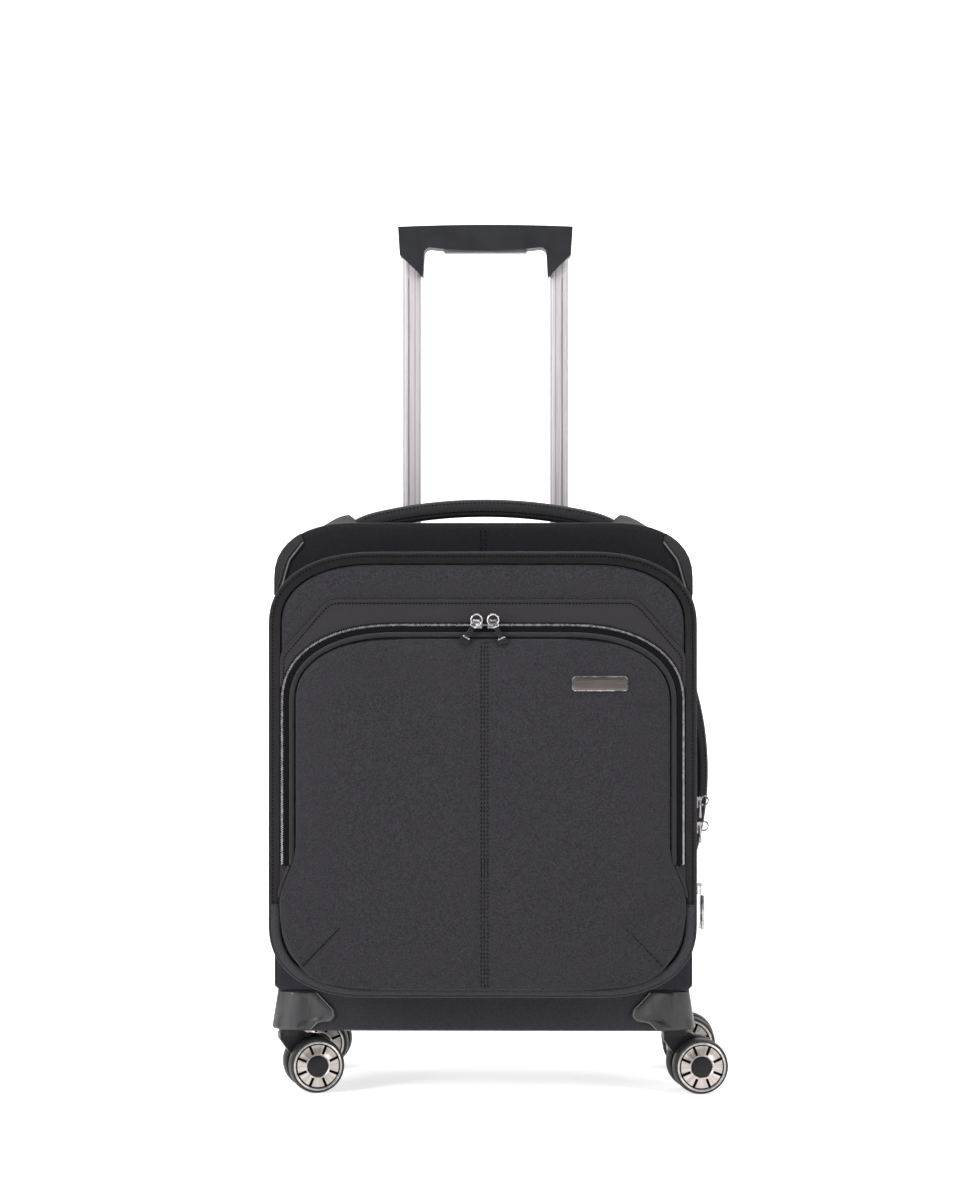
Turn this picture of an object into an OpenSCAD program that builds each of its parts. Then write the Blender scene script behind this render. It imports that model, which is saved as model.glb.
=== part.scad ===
// Soft-sided cabin trolley for flight crew: a fabric case on four twin-wheel casters,
// with a hinged front lid, a zipped front pocket and a two-stage trolley handle.
// Millimetres, +Z up, front towards -Y. The origin lies on the floor,
// at the centre of the rectangle that the four caster swivels make.

/* [Case] */
// Width of the main body
case_w = 381; // [330:0.1:460]
// Height of the fabric body above the base tray
case_h = 428.5; // [360:0.1:520]
// Depth of the fabric body, from the expansion seam to the back panel
case_d = 181.5; // [150:0.5:220]
// Wall of the fabric body: cloth, foam and board
wall = 3.5; // [2.5:0.5:5]
// Width of the sloping shoulder at each top corner
shoulder_w = 72; // [40:1:90]
// Height of the sloping shoulder at each top corner
shoulder_h = 50; // [30:1:70]
// Height of the base tray
base_h = 36.7; // [30:0.1:46]
// Thickness of the back panel
back_t = 5; // [3:0.5:7]

/* [Expander] */
// Depth of the frame between the expansion zip and the main zip
ring_d = 10.7; // [8:0.1:14]
// Front width of that frame
ring_w = 6; // [6:0.5:9]
// How far the case grows when the expansion zip is open
expansion = 40; // [20:1:50]

/* [Lid] */
// How much the lid stands out past the body on each side
lid_overhang = 2.5; // [1:0.5:4]
// Height of body that shows above the lid
lid_drop = 26.5; // [20:0.5:40]
// Depth of the lid
lid_d = 46.5; // [39:0.1:56]
// Width of the tape border round the front of the lid
band_w = 10; // [7:0.5:11]

/* [Front pocket] */
// Distance from the top of the lid to the pocket zip
zip_drop = 65.7; // [50:0.1:90]
// Height of the pocket's fold line above the bottom of the lid
fold_rise = 117.5; // [90:0.5:140]
// Distance from the side of the lid to the pocket zip
zip_inset = 12; // [12:0.5:18]
// Thickness of the padded pocket front
flap_t = 4; // [3:0.5:6]
// Depth of the lined pocket behind the front panel
pocket_d = 18; // [12:1:24]

/* [Trolley handle] */
// Distance between the centres of the two tubes
tube_spacing = 143; // [120:1:170]
// Width of the tube that carries the grip
tube_w = 17.4; // [15:0.1:20.9]
// Depth of the tube that carries the grip
tube_t = 12; // [10.5:0.1:14]
// Wall of the tubes
tube_wall = 1; // [0.8:0.1:1.4]
// Thickness of the grip from front to back
grip_d = 26; // [22:0.5:27]
// Height of the grip bar at its ends
grip_h = 22; // [20:0.5:30]
// Length of tube that stays inside at the first lock
tube_reserve = 132; // [110:1:150]
// Length of the release bar under the grip
button_w = 80; // [60:1:90]

/* [Carry handles] */
// Length of the top carry handle
carry_w = 247; // [200:1:270]
// Rise of the top carry handle above the body
carry_rise = 25.6; // [20:0.1:35]
// Thickness of the top carry handle
carry_t = 16; // [12:0.5:17]
// Length of the side handle
side_w = 206; // [180:1:230]
// How far the side handle stands out
side_rise = 21; // [18:0.5:26]

/* [Casters] */
// Diameter of a wheel
wheel_d = 51; // [43:0.1:61.2]
// Width of one wheel
wheel_w = 17; // [14:0.5:19]
// Distance from the swivel axis to the axle
trail = 20; // [16:0.5:23]
// Thickness of the fork between the two wheels
fork_t = 14; // [12:0.5:17]
// Diameter of the swivel stem
stem_d = 8; // [6:0.5:9]
// Diameter of the wheel axle
axle_d = 6; // [4:0.5:7]
// Distance from the side of the body to the swivel axis
caster_inset = 13.5; // [10:0.5:20]

/* [Hidden] */
$fn = 48;

// Clearances
fit = 0.05;          // running fit of a pin in its bore, on the radius
gap = 0.5;           // free space between pieces that move past each other
seat = 0.2;          // free space round a piece that is seated in another
tube_gap = 0.4;      // free space between two telescoping tubes
over = 1;            // how far a cutting shape runs past what it cuts

// Casters, from the floor up
wheel_r = wheel_d / 2;
boss_low = wheel_d + 1;
boss_h = 6.5;
boss_r = 12;
housing_low = boss_low + boss_h + gap;
base_low = housing_low - 1.5;
sill = base_low + base_h;
wheel_gap = 0.6;
hub_r = wheel_r - 2.9;

// Main body
body_low = sill + 0.3;
body_top = body_low + case_h;
body_half = case_w / 2;
shoulder = [shoulder_w, shoulder_h];
foot_corner = [6, 6];

// Places from front to back. The casters' mid-plane is y = 0.
front_inset = 19;
rear_inset = 20;
nose = 10.5;         // how far the base stands out in front of the expansion seam
caster_base = case_d + back_t + nose - front_inset - rear_inset;
back_y = caster_base / 2 + rear_inset;
back_in = back_y - back_t;
seam_y = back_in - case_d;
base_front = seam_y - nose;
ring_back = seam_y - gap;
ring_front = ring_back - ring_d;
zip_t = 2;
lid_back = ring_front - zip_t - 0.3;
band_front = lid_back - lid_d;
swivel_x = body_half - caster_inset;
swivel_y = caster_base / 2;

// Lid and pocket
lid_half = body_half + lid_overhang;
lid_low = body_low + 0.3;
lid_top = body_top - lid_drop;
lid_top_corner = [98, 66];
lid_low_corner = [90, 66];
lid_wall = 3;
panel_t = 3;
panel_front = band_front + 2;
panel_back = panel_front + panel_t;
zip_half = lid_half - zip_inset;
zip_top = lid_top - zip_drop;
zip_corner = [106, 70];
zip_front = panel_front - 3.4;
fold_z = lid_low + fold_rise;
fold_gap = 2.4;
flap_inset = 9;
flap_back = panel_front - 3;
flap_front = flap_back - flap_t;
fold_y = flap_back - flap_t / 2;
liner_t = 2;
liner_back = panel_back + pocket_d;

// Trolley handle
tube_x = tube_spacing / 2;
tube_round = 4;
tube_step = tube_wall + tube_gap;
middle_w = tube_w + 2 * tube_step;
middle_t = tube_t + 2 * tube_step;
outer_w = middle_w + 2 * tube_step;
outer_t = middle_t + 2 * tube_step;
tray_t = 3;
well_depth = 26;
well_floor = body_top - well_depth;
bezel_floor = 3;
bezel_half = tube_x + 19;
bezel_front = 1.5;
grip_clear = 0.7;
tube_y = back_in - bezel_front - grip_clear - 1.3 - grip_d / 2;
middle_low = base_low + tray_t + 34.5;
middle_top = well_floor - 1;
first_lock = middle_top - middle_low - tube_reserve;
leg_low = well_floor + gap + first_lock;
leg_h = 28.3;
grip_low = leg_low + leg_h;
grip_top = grip_low + grip_h;
grip_half = tube_x + 13.2;
leg_in = tube_x - 12.2;
inner_low = well_floor - 110;
inner_top = grip_low - 5;
button_t = 12;
button_travel = 4;

// Carry handles
carry_d = 30;
carry_y = 0;
carry_r = (pow(carry_w / 2, 2) + pow(carry_rise - 7, 2)) / (2 * (carry_rise - 7));
side_d = 26;
side_t = 11;
side_z = body_low + 197.5;
side_r = (pow(side_w / 2, 2) + pow(side_rise, 2)) / (2 * side_rise);
strap_t = 3;
strap_drop = 24;
carry_strap_x = carry_w / 2 - 15;
carry_strap_y = carry_d / 2 - 4;
side_strap_z = side_w / 2 - 11;
side_strap_y = side_d / 2 - 3;

// Sliders: height of each above the floor, or distance along the top of the pocket
left_slider_x = -5.4;
right_slider_x = 9.5;
upper_slider_z = body_low + 173.5;
lower_slider_z = body_low + 150.5;
expansion_slider_z = body_low + 93.5;
slider_t = 3.2;
expansion_slider_t = slider_t + lid_overhang + 0.5;
pin_out = 2.3;       // pin's distance in front of the slider's face
pin_r = 0.8;
eye_r = 1.7;

// Each caster: side (-1 left, 1 right), row (-1 front, 1 rear) and the way it points at rest
fl = [-1, -1, 14];
fr = [1, -1, 8];
rl = [-1, 1, -3.5];
rr = [1, 1, -1];
casters = [fl, fr, rl, rr];

// ---- Outlines, drawn in the plane of the front and given depth along Y ----

corner_power = 2.3;
corner_steps = 10;

// One rounded corner, from the side (t = 0) to the top or bottom (t = 90).
function corner(cx, cz, sx, sz, size, back = false) = [
    for (i = [0 : corner_steps])
        let (t = 90 * (back ? corner_steps - i : i) / corner_steps)
        [cx + sx * size[0] * pow(cos(t), 2 / corner_power),
         cz + sz * size[1] * pow(sin(t), 2 / corner_power)]
];

function less(size, inset) = [max(size[0] - inset, 1), max(size[1] - inset, 1)];

// A panel with one shape of corner at the top and another at the bottom.
module panel(half, low, high, top_size, low_size) {
    polygon(concat(
        corner(half - top_size[0], high - top_size[1], 1, 1, top_size),
        corner(top_size[0] - half, high - top_size[1], -1, 1, top_size, true),
        corner(low_size[0] - half, low + low_size[1], -1, -1, low_size),
        corner(half - low_size[0], low + low_size[1], 1, -1, low_size, true)
    ));
}

module body_outline(inset) {
    panel(body_half - inset, body_low + inset, body_top - inset,
        less(shoulder, inset), less(foot_corner, inset));
}

module lid_outline(inset) {
    panel(lid_half - inset, lid_low + inset, lid_top - inset,
        less(lid_top_corner, inset), less(lid_low_corner, inset));
}

// The pocket zip's line: round at the top, square at the fold.
module zip_outline(inset, low) {
    panel(zip_half - inset, low, zip_top - inset, less(zip_corner, inset), [1, 1]);
}

// Gives a front-view outline its depth, from y0 back to y1.
module across(y0, y1) {
    translate([0, y1, 0]) rotate([90, 0, 0]) linear_extrude(y1 - y0) children();
}

module block(low, high) {
    translate(low) cube(high - low);
}

module both_sides() {
    children();
    mirror([1, 0, 0]) children();
}

// ---- Main body ----

module strap_slots() {
    free = 2 * seat;
    both_sides() block([carry_strap_x - free, carry_y - carry_strap_y - free, body_top - wall - over],
        [carry_strap_x + strap_t + free, carry_y + carry_strap_y + free, body_top + over]);
    for (s = [-1, 1]) {
        z = side_z + s * side_strap_z;
        block([body_half - wall - over, carry_y - side_strap_y - free, z - strap_t / 2 - free],
            [body_half + over, carry_y + side_strap_y + free, z + strap_t / 2 + free]);
    }
}

module case_shell() {
    color("#34343a") difference() {
        across(seam_y, back_in) body_outline(0);
        across(seam_y - over, back_in + over) body_outline(wall);
        block([wall - body_half, seam_y - over, body_low - over],
            [body_half - wall, back_in + over, body_low + 2 * foot_corner[1]]);
        block([-bezel_half - seat, bezel_y0() - seat, body_top - wall - over],
            [bezel_half + seat, back_in + over, body_top + over]);
        strap_slots();
    }
}

module back_panel() {
    color("#2e2e33") across(back_in, back_y) body_outline(0);
}

housing_w = 58;
housing_d = 54;
housing_out = 3.5;   // how far a housing stands out past the body's side
housing_high = body_low - 0.8;
housing_round = 20;

// The space that a housing takes at its corner of the base, grown by a margin.
module housing_space(c, grow) {
    x_in = body_half + housing_out - housing_w - grow;
    x_out = body_half + housing_out + over;
    y_out = c[1] < 0 ? base_front - over : back_y + over;
    y_in = c[1] < 0 ? base_front + housing_d + grow : back_y - housing_d - grow;
    scale([c[0], 1, 1])
        block([x_in, min(y_in, y_out), base_low - over], [x_out, max(y_in, y_out), sill + over]);
}

module base_tray() {
    color("#2c2c31") difference() {
        block([-body_half, base_front, base_low], [body_half, back_y, sill]);
        difference() {
            block([tray_t - body_half, base_front + tray_t, base_low + tray_t],
                [body_half - tray_t, back_y - tray_t, sill + over]);
            for (c = casters) housing_space(c, tray_t);
        }
        for (c = casters) housing_space(c, seat);
    }
}

// Front view of a housing on the right: a flared outer side, a chamfer and a lobe inboard.
module housing_profile() {
    outer = body_half + housing_out;
    inner = outer - housing_w;
    polygon([
        [outer, housing_low], [outer - 5.5, housing_high], [outer - 42, housing_high],
        [inner + 1, housing_high - 15.5], [inner, housing_high - 22], [inner + 4, housing_low + 7.5],
        [outer - 42, housing_low + 7], [outer - 35, housing_low]
    ]);
}

module housing_plan(c, inset) {
    x0 = body_half + housing_out - housing_w + inset;
    x1 = body_half + housing_out - inset;
    y_out = c[1] < 0 ? base_front - 1.5 + inset : back_y + 1 - inset;
    y_in = c[1] < 0 ? base_front + housing_d - inset : back_y - housing_d + inset;
    r = housing_round - inset;
    y_mid = y_out - c[1] * r;
    polygon(concat(
        [[x0, y_in], [x0, y_out]],
        [for (i = [0 : corner_steps])
            let (t = 90 - 90 * i / corner_steps)
            [x1 - r + r * cos(t), y_mid + c[1] * r * sin(t)]],
        [[x1, y_in]]
    ));
}

module housing(c) {
    floor_t = 5;
    scale([c[0], 1, 1]) difference() {
        intersection() {
            across(base_front - 2 * over, back_y + 2 * over) housing_profile();
            translate([0, 0, housing_low - over])
                linear_extrude(housing_high - housing_low + 2 * over) housing_plan(c, 0);
        }
        difference() {
            translate([0, 0, housing_low + floor_t + 4])
                linear_extrude(housing_high - housing_low) housing_plan(c, 7);
            translate([swivel_x, c[1] * swivel_y, housing_low]) cylinder(r = stem_d / 2 + 3, h = 24);
        }
        translate([swivel_x, c[1] * swivel_y, housing_low - over]) cylinder(d = stem_d, h = 22 + over);
    }
}

module caster_housings() {
    color("#46464a") for (c = casters) housing(c);
}

module caster_stems() {
    below = 8;
    inside = 21;
    color("silver") for (c = casters) translate([c[0] * swivel_x, c[1] * swivel_y, boss_low - below])
        cylinder(d = stem_d, h = below + boss_h + gap + inside);
}

// ---- Trolley handle ----

module rounded(w, t, r) {
    square([w - 2 * r, t], center = true);
    square([w, t - 2 * r], center = true);
    for (x = [-1, 1], y = [-1, 1]) translate([x * (w / 2 - r), y * (t / 2 - r)]) circle(r);
}

module tube_pair(low, high, w, t, hollow_wall) {
    both_sides() translate([tube_x, tube_y, low]) linear_extrude(high - low) difference() {
        rounded(w, t, tube_round);
        rounded(w - 2 * hollow_wall, t - 2 * hollow_wall, tube_round - hollow_wall);
    }
}

function bezel_y0() = tube_y - grip_d / 2 - grip_clear - bezel_front;

module trolley_bezel() {
    well_y0 = tube_y - grip_d / 2 - grip_clear;
    well_y1 = tube_y + grip_d / 2 + grip_clear;
    scoop_in = 5;
    color("#3b3b40") difference() {
        block([-bezel_half, bezel_y0(), well_floor - bezel_floor],
            [bezel_half, back_in - seat, body_top + 1.5]);
        both_sides() {
            block([leg_in - grip_clear - 2.5, well_y0, well_floor],
                [grip_half + grip_clear, well_y1, body_top + 2 * over]);
            translate([tube_x, tube_y, well_floor - bezel_floor - over])
                linear_extrude(bezel_floor + 2 * over)
                rounded(middle_w + 2 * tube_gap, middle_t + 2 * tube_gap, tube_round + tube_gap);
        }
        block([scoop_in - leg_in, well_y0, well_floor], [leg_in - scoop_in, well_y1, body_top + 2 * over]);
    }
}

module outer_tubes() {
    low = base_low + tray_t + 6;
    high = well_floor - bezel_floor - seat;
    color("#8c8c90") tube_pair(low, high, outer_w, outer_t, tube_wall);
}

module trolley_foot() {
    color("#303034") difference() {
        block([-tube_x - 16, tube_y - outer_t / 2 - 2.5, base_low + tray_t],
            [tube_x + 16, tube_y + outer_t / 2 + 2.5, base_low + tray_t + 20]);
        both_sides() translate([tube_x, tube_y, base_low + tray_t + 5]) linear_extrude(20)
            rounded(outer_w + seat, outer_t + seat, tube_round + seat / 2);
        block([outer_w / 2 + 6 - tube_x, tube_y - outer_t / 2 + 0.5, base_low + tray_t + 4],
            [tube_x - outer_w / 2 - 6, tube_y + outer_t / 2 - 0.5, base_low + tray_t + 21]);
    }
}

module middle_tubes() {
    color("#b4b1b2") tube_pair(middle_low, middle_top, middle_w, middle_t, tube_wall);
}

module inner_tubes() {
    groove_w = 1.4;
    groove_t = 0.6;
    color("#cfcacb") difference() {
        tube_pair(inner_low, inner_top, tube_w, tube_t, tube_wall + 0.2);
        both_sides() translate([tube_x + tube_w / 6, tube_y - tube_t / 2, 0])
            block([-groove_w / 2, -over, inner_low - over], [groove_w / 2, groove_t, leg_low - over]);
    }
}

// Front view of the grip: a bar between two legs whose lower ends slope inwards.
module grip_profile() {
    crown = 1.8;
    belly = 3.5;
    bend = 6;
    under = leg_in - bend;
    top_points = [for (i = [-6 : 6]) [-i / 6 * grip_half, grip_top - crown * pow(i / 6, 2)]];
    low_points = [for (i = [-6 : 6]) [i / 6 * under, grip_low - belly * (1 - pow(i / 6, 2))]];
    bend_right = [for (i = [0 : 6]) [under + bend * sin(i * 15), grip_low - bend + bend * cos(i * 15)]];
    bend_left = [for (i = [6 : -1 : 0]) [-under - bend * sin(i * 15), grip_low - bend + bend * cos(i * 15)]];
    polygon(concat(
        top_points,
        [[1.7 - grip_half, leg_low + 21.5], [-leg_in - 1.2, leg_low]],
        bend_left,
        low_points,
        bend_right,
        [[leg_in + 1.2, leg_low], [grip_half - 1.7, leg_low + 21.5]]
    ));
}

module grip() {
    color("#3a3a3f") difference() {
        across(tube_y - grip_d / 2, tube_y + grip_d / 2) grip_profile();
        both_sides() translate([tube_x, tube_y, leg_low - over])
            linear_extrude(inner_top - leg_low + over + seat)
            rounded(tube_w + seat, tube_t + seat, tube_round + seat / 2);
        block([-button_w / 2 - 0.4, tube_y - button_t / 2 - 0.4, grip_low - 5],
            [button_w / 2 + 0.4, tube_y + button_t / 2 + 0.4, grip_low + 3 + button_travel + gap]);
    }
}

module grip_button() {
    color("#6b6b70") block([-button_w / 2, tube_y - button_t / 2, grip_low - 4.4],
        [button_w / 2, tube_y + button_t / 2, grip_low + 3]);
}

// ---- Carry handles ----

module carry_handle() {
    color("#37373c") {
        intersection() {
            across(carry_y - carry_d / 2, carry_y + carry_d / 2)
                translate([0, body_top + carry_rise - carry_r]) difference() {
                    circle(carry_r, $fn = 200);
                    circle(carry_r - carry_t, $fn = 200);
                }
            block([-carry_w / 2, carry_y - carry_d, body_top + 0.4],
                [carry_w / 2, carry_y + carry_d, body_top + 2 * carry_rise]);
        }
        both_sides() block([carry_strap_x, carry_y - carry_strap_y, body_top - strap_drop],
            [carry_strap_x + strap_t, carry_y + carry_strap_y, body_top + 3]);
    }
}

module side_handle() {
    color("#37373c") {
        intersection() {
            across(carry_y - side_d / 2, carry_y + side_d / 2)
                translate([body_half + side_rise - side_r, side_z]) difference() {
                    circle(side_r, $fn = 200);
                    circle(side_r - side_t, $fn = 200);
                }
            block([body_half + 0.4, carry_y - side_d, side_z - side_w / 2],
                [body_half + 2 * side_rise, carry_y + side_d, side_z + side_w / 2]);
        }
        for (s = [-1, 1]) {
            z = side_z + s * side_strap_z;
            block([body_half - strap_drop + 8, carry_y - side_strap_y, z - strap_t / 2],
                [body_half + 4, carry_y + side_strap_y, z + strap_t / 2]);
        }
    }
}

// ---- Expander ----

// A ring with a front face that closes the body all round the lid's mouth.
module expander_ring() {
    face_t = 2.5;
    color("#303036") {
        across(ring_front, ring_back) difference() {
            body_outline(0);
            body_outline(ring_w);
        }
        across(ring_front, ring_front + face_t) difference() {
            body_outline(1);
            lid_outline(band_w);
        }
    }
}

// The part of a front view that the right corner guard covers, outside the lid.
module guard_space() {
    polygon([
        [body_half - 25.9, body_top - 17.4], [body_half - 14, body_top - 33],
        [body_half - 8.5, body_top - 51.4], [body_half - 4.8, body_top - 62.4],
        [body_half + 4, body_top - 66], [body_half + 4, body_top + over],
        [body_half - 20, body_top + over]
    ]);
}

// A guard wraps the side of the frame and turns in over its front.
module top_corner_guards() {
    guard_t = 1.5;
    lid_free = 0.6;
    color("#434246") both_sides() {
        across(ring_front - guard_t, ring_back) intersection() {
            difference() {
                body_outline(-guard_t);
                body_outline(0);
            }
            guard_space();
        }
        across(ring_front - guard_t, ring_front) difference() {
            intersection() {
                body_outline(-guard_t);
                guard_space();
            }
            lid_outline(-lid_free);
        }
    }
}

module expansion_gusset() {
    color("#26262a") across(ring_back, ring_back + expansion + 4) difference() {
        body_outline(wall + 1);
        body_outline(ring_w);
    }
}

module main_zip() {
    color("#1f1f22") across(ring_front - zip_t, ring_front) difference() {
        lid_outline(4);
        lid_outline(9);
    }
}

// ---- Lid ----

module lid_band() {
    color("#363433") difference() {
        across(band_front, lid_back) lid_outline(0);
        across(band_front + 4, lid_back + over) lid_outline(lid_wall);
        across(band_front - over, band_front + 5) lid_outline(band_w);
    }
}

module pocket_window(grow) {
    inset = 14 - grow;
    panel(zip_half - inset, fold_z + 8 - grow, zip_top - inset, less(zip_corner, inset), [6, 6]);
}

module lid_panel() {
    color("#3f3f44") across(panel_front, panel_back) difference() {
        lid_outline(band_w + seat);
        pocket_window(0);
    }
}

module pocket_liner() {
    color("#55555a") difference() {
        across(panel_back, liner_back) pocket_window(liner_t);
        across(panel_back - over, liner_back - liner_t) pocket_window(0);
    }
}

module pocket_placket() {
    half = lid_half - band_w - 0.4;
    top = zip_top + 22.5;
    low = zip_top - zip_corner[1] + 14;
    color("#3d3b3a") across(panel_front - 2.5, panel_front) difference() {
        polygon([[-half, low], [half, low], [half, top - 49], [half - 42, top - 2], [half - 48, top],
            [48 - half, top], [42 - half, top - 2], [-half, top - 49]]);
        zip_outline(-1.3, low - 20);
    }
}

module pocket_zip() {
    color("#8d8d90") across(zip_front, panel_front) difference() {
        zip_outline(-1, fold_z + fold_gap);
        zip_outline(8, fold_z - 10);
    }
}

module pocket_base() {
    shoulder_z = fold_z - 30;
    color("#404045") across(flap_front, band_front - 0.3) intersection() {
        lid_outline(1.5);
        polygon([[-lid_half, lid_low - over], [lid_half, lid_low - over], [lid_half, shoulder_z],
            [zip_half - flap_inset, fold_z - fold_gap], [flap_inset - zip_half, fold_z - fold_gap],
            [-lid_half, shoulder_z]]);
    }
}

module pocket_flap() {
    color("#404045") across(flap_front, flap_back) zip_outline(flap_inset, fold_z + fold_gap);
}

module badge() {
    badge_w = 51;
    badge_h = 14.2;
    cut = 2.2;
    badge_x = zip_half - 75.2;
    badge_z = zip_top - 52.8;
    color("#7a6d68") across(flap_front - 1.3, flap_front) translate([badge_x, badge_z]) polygon([
        [cut - badge_w / 2, -badge_h / 2], [badge_w / 2 - cut, -badge_h / 2],
        [badge_w / 2, cut - badge_h / 2], [badge_w / 2, badge_h / 2 - cut],
        [badge_w / 2 - cut, badge_h / 2], [cut - badge_w / 2, badge_h / 2],
        [-badge_w / 2, badge_h / 2 - cut], [-badge_w / 2, cut - badge_h / 2]
    ]);
}

// ---- Zip sliders ----

// A slider whose back lies at y = 0 and whose pull faces -Y. The pin lies along X, at height pin_z.
module slider(len_x, len_z, pin_z, thick = slider_t) {
    ear_x = 2.2;
    ear_w = 1.2;
    block([-len_x / 2, -thick, -len_z / 2], [len_x / 2, 0, len_z / 2]);
    for (s = [0, 1]) mirror([s, 0, 0])
        block([ear_x, -thick - pin_out - 1.3, pin_z - 1.4], [ear_x + ear_w, 0.5 - thick, pin_z + 1.4]);
    translate([-ear_x - 0.2, -thick - pin_out, pin_z]) rotate([0, 90, 0])
        cylinder(r = pin_r, h = 2 * ear_x + 0.4);
}

// A pull that hangs from the slider's pin: an eye, a tab and a thicker end.
module pull(length, width, pin_z, splay, thick = slider_t) {
    eye_half = 1.9;
    neck_half = 0.8;
    tab_t = 1.2;
    end_l = 5;
    translate([0, -thick - pin_out, pin_z]) difference() {
        union() {
            translate([-eye_half, 0, 0]) rotate([0, 90, 0]) cylinder(r = eye_r, h = 2 * eye_half);
            rotate([0, splay, 0]) {
                block([-neck_half, -tab_t / 2, -length], [neck_half, tab_t / 2, -1]);
                block([-width / 2, -tab_t / 2, -length], [width / 2, tab_t / 2, -eye_r - 2.5]);
                block([-width / 2 - 0.4, -tab_t / 2 - 0.4, -length],
                    [width / 2 + 0.4, tab_t / 2 + 0.4, end_l - length]);
            }
        }
        translate([-eye_half - over, 0, 0]) rotate([0, 90, 0])
            cylinder(r = pin_r + fit, h = 2 * (eye_half + over));
    }
}

pocket_pin_z = 4;
side_pin_z = 3.4;

module at_pocket(x) {
    translate([x, zip_front - 0.4, zip_top]) children();
}

module at_side(x, y, z) {
    translate([x, y, z]) rotate([0, 0, 90]) children();
}

module pocket_slider(x) {
    color("silver") at_pocket(x) slider(10, 6, pocket_pin_z);
}

module pocket_pull(x, splay) {
    color("#2a2a2c") at_pocket(x) pull(23.5, 5, pocket_pin_z, splay);
}

main_zip_y = ring_front - zip_t / 2;

module main_slider(z) {
    color("silver") at_side(lid_half + 0.4, main_zip_y, z) slider(7, 10, side_pin_z);
}

module main_pull(z) {
    color("silver") at_side(lid_half + 0.4, main_zip_y, z) pull(17.5, 5, side_pin_z, 0);
}

expansion_zip_y = ring_back + gap / 2;

module expansion_slider() {
    color("silver") at_side(body_half + 0.4, expansion_zip_y, expansion_slider_z)
        slider(7, 10, side_pin_z, expansion_slider_t);
}

module expansion_pull() {
    color("silver") at_side(body_half + 0.4, expansion_zip_y, expansion_slider_z)
        pull(40, 4.6, side_pin_z, 0, expansion_slider_t);
}

// ---- Casters ----

// Places a piece at its swivel axis, with the axle trailing towards +X at no turn.
module at_caster(c) {
    translate([c[0] * swivel_x, c[1] * swivel_y, 0]) rotate([0, 0, c[2]]) children();
}

module fork(c) {
    arm_top = boss_low + 3;
    color("#2b2b2e") at_caster(c) difference() {
        union() {
            translate([0, 0, boss_low]) cylinder(r = boss_r, h = boss_h);
            across(-fork_t / 2, fork_t / 2) polygon([
                [-boss_r, arm_top], [-boss_r, boss_low - 3], [trail - 24, wheel_r + 12],
                [trail - 9, wheel_r - 4], [trail - 4, wheel_r - 9], [trail + 4, wheel_r - 9],
                [trail + 9, wheel_r - 3],
                [trail + 12, wheel_r + 8], [trail + 7, boss_low - 8], [boss_r, arm_top]
            ]);
        }
        translate([0, 0, boss_low - 9]) cylinder(r = stem_d / 2 + fit, h = boss_h + 9 + over);
        translate([trail, -fork_t, wheel_r]) rotate([-90, 0, 0]) cylinder(d = axle_d, h = 2 * fork_t);
    }
}

module axle(c) {
    half = fork_t / 2 + wheel_gap + wheel_w - 3;
    color("silver") at_caster(c) translate([trail, -half, wheel_r]) rotate([-90, 0, 0])
        cylinder(d = axle_d, h = 2 * half);
}

// Places a wheel's profile, whose axis is Z and whose inner face is z = 0. side is -1 in front, 1 behind.
module at_wheel(c, side) {
    at_caster(c) translate([trail, side * (fork_t / 2 + wheel_gap), wheel_r])
        rotate([-90 * side, 0, 0]) children();
}

module hub(c, side) {
    bore_r = axle_d / 2 + fit;
    color("#a79c95") at_wheel(c, side) rotate_extrude($fn = 96) polygon([
        [bore_r, 0], [hub_r, 0], [hub_r, wheel_w - 0.8], [hub_r - 0.8, wheel_w],
        [hub_r - 3, wheel_w], [hub_r - 4, wheel_w - 0.8], [9, wheel_w - 0.8], [9, wheel_w], [bore_r, wheel_w]
    ]);
}

module tyre(c, side) {
    tread = [for (i = [0 : 8])
        let (t = -90 + 180 * i / 8)
        [wheel_r - 2.4 + 2.4 * pow(cos(t), 0.7), wheel_w / 2 + (wheel_w / 2 - 0.3) * sin(t)]];
    color("#2c2c2e") at_wheel(c, side) rotate_extrude($fn = 96) polygon(concat(
        [[hub_r, 0.3]], tread, [[hub_r, wheel_w - 0.3]]
    ));
}

case_shell();
back_panel();
base_tray();
top_corner_guards();
caster_housings();
caster_stems();
trolley_bezel();
outer_tubes();
trolley_foot();
expander_ring();
expansion_gusset();
main_zip();
lid_band();
lid_panel();
pocket_placket();
pocket_zip();
pocket_liner();
pocket_base();
pocket_flap();
badge();
pocket_slider(left_slider_x);  // pocket_slider_left
pocket_pull(left_slider_x, 31);  // pocket_pull_left
pocket_slider(right_slider_x);  // pocket_slider_right
pocket_pull(right_slider_x, -25);  // pocket_pull_right
main_slider(upper_slider_z);  // main_slider_upper
main_pull(upper_slider_z);  // main_pull_upper
main_slider(lower_slider_z);  // main_slider_lower
main_pull(lower_slider_z);  // main_pull_lower
expansion_slider();
expansion_pull();
middle_tubes();
inner_tubes();
grip();
grip_button();
carry_handle();
side_handle();
fork(fl);  // fork_fl
axle(fl);  // axle_fl
hub(fl, -1);  // hub_fl_front
tyre(fl, -1);  // tyre_fl_front
hub(fl, 1);  // hub_fl_rear
tyre(fl, 1);  // tyre_fl_rear
fork(fr);  // fork_fr
axle(fr);  // axle_fr
hub(fr, -1);  // hub_fr_front
tyre(fr, -1);  // tyre_fr_front
hub(fr, 1);  // hub_fr_rear
tyre(fr, 1);  // tyre_fr_rear
fork(rl);  // fork_rl
axle(rl);  // axle_rl
hub(rl, -1);  // hub_rl_front
tyre(rl, -1);  // tyre_rl_front
hub(rl, 1);  // hub_rl_rear
tyre(rl, 1);  // tyre_rl_rear
fork(rr);  // fork_rr
axle(rr);  // axle_rr
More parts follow.
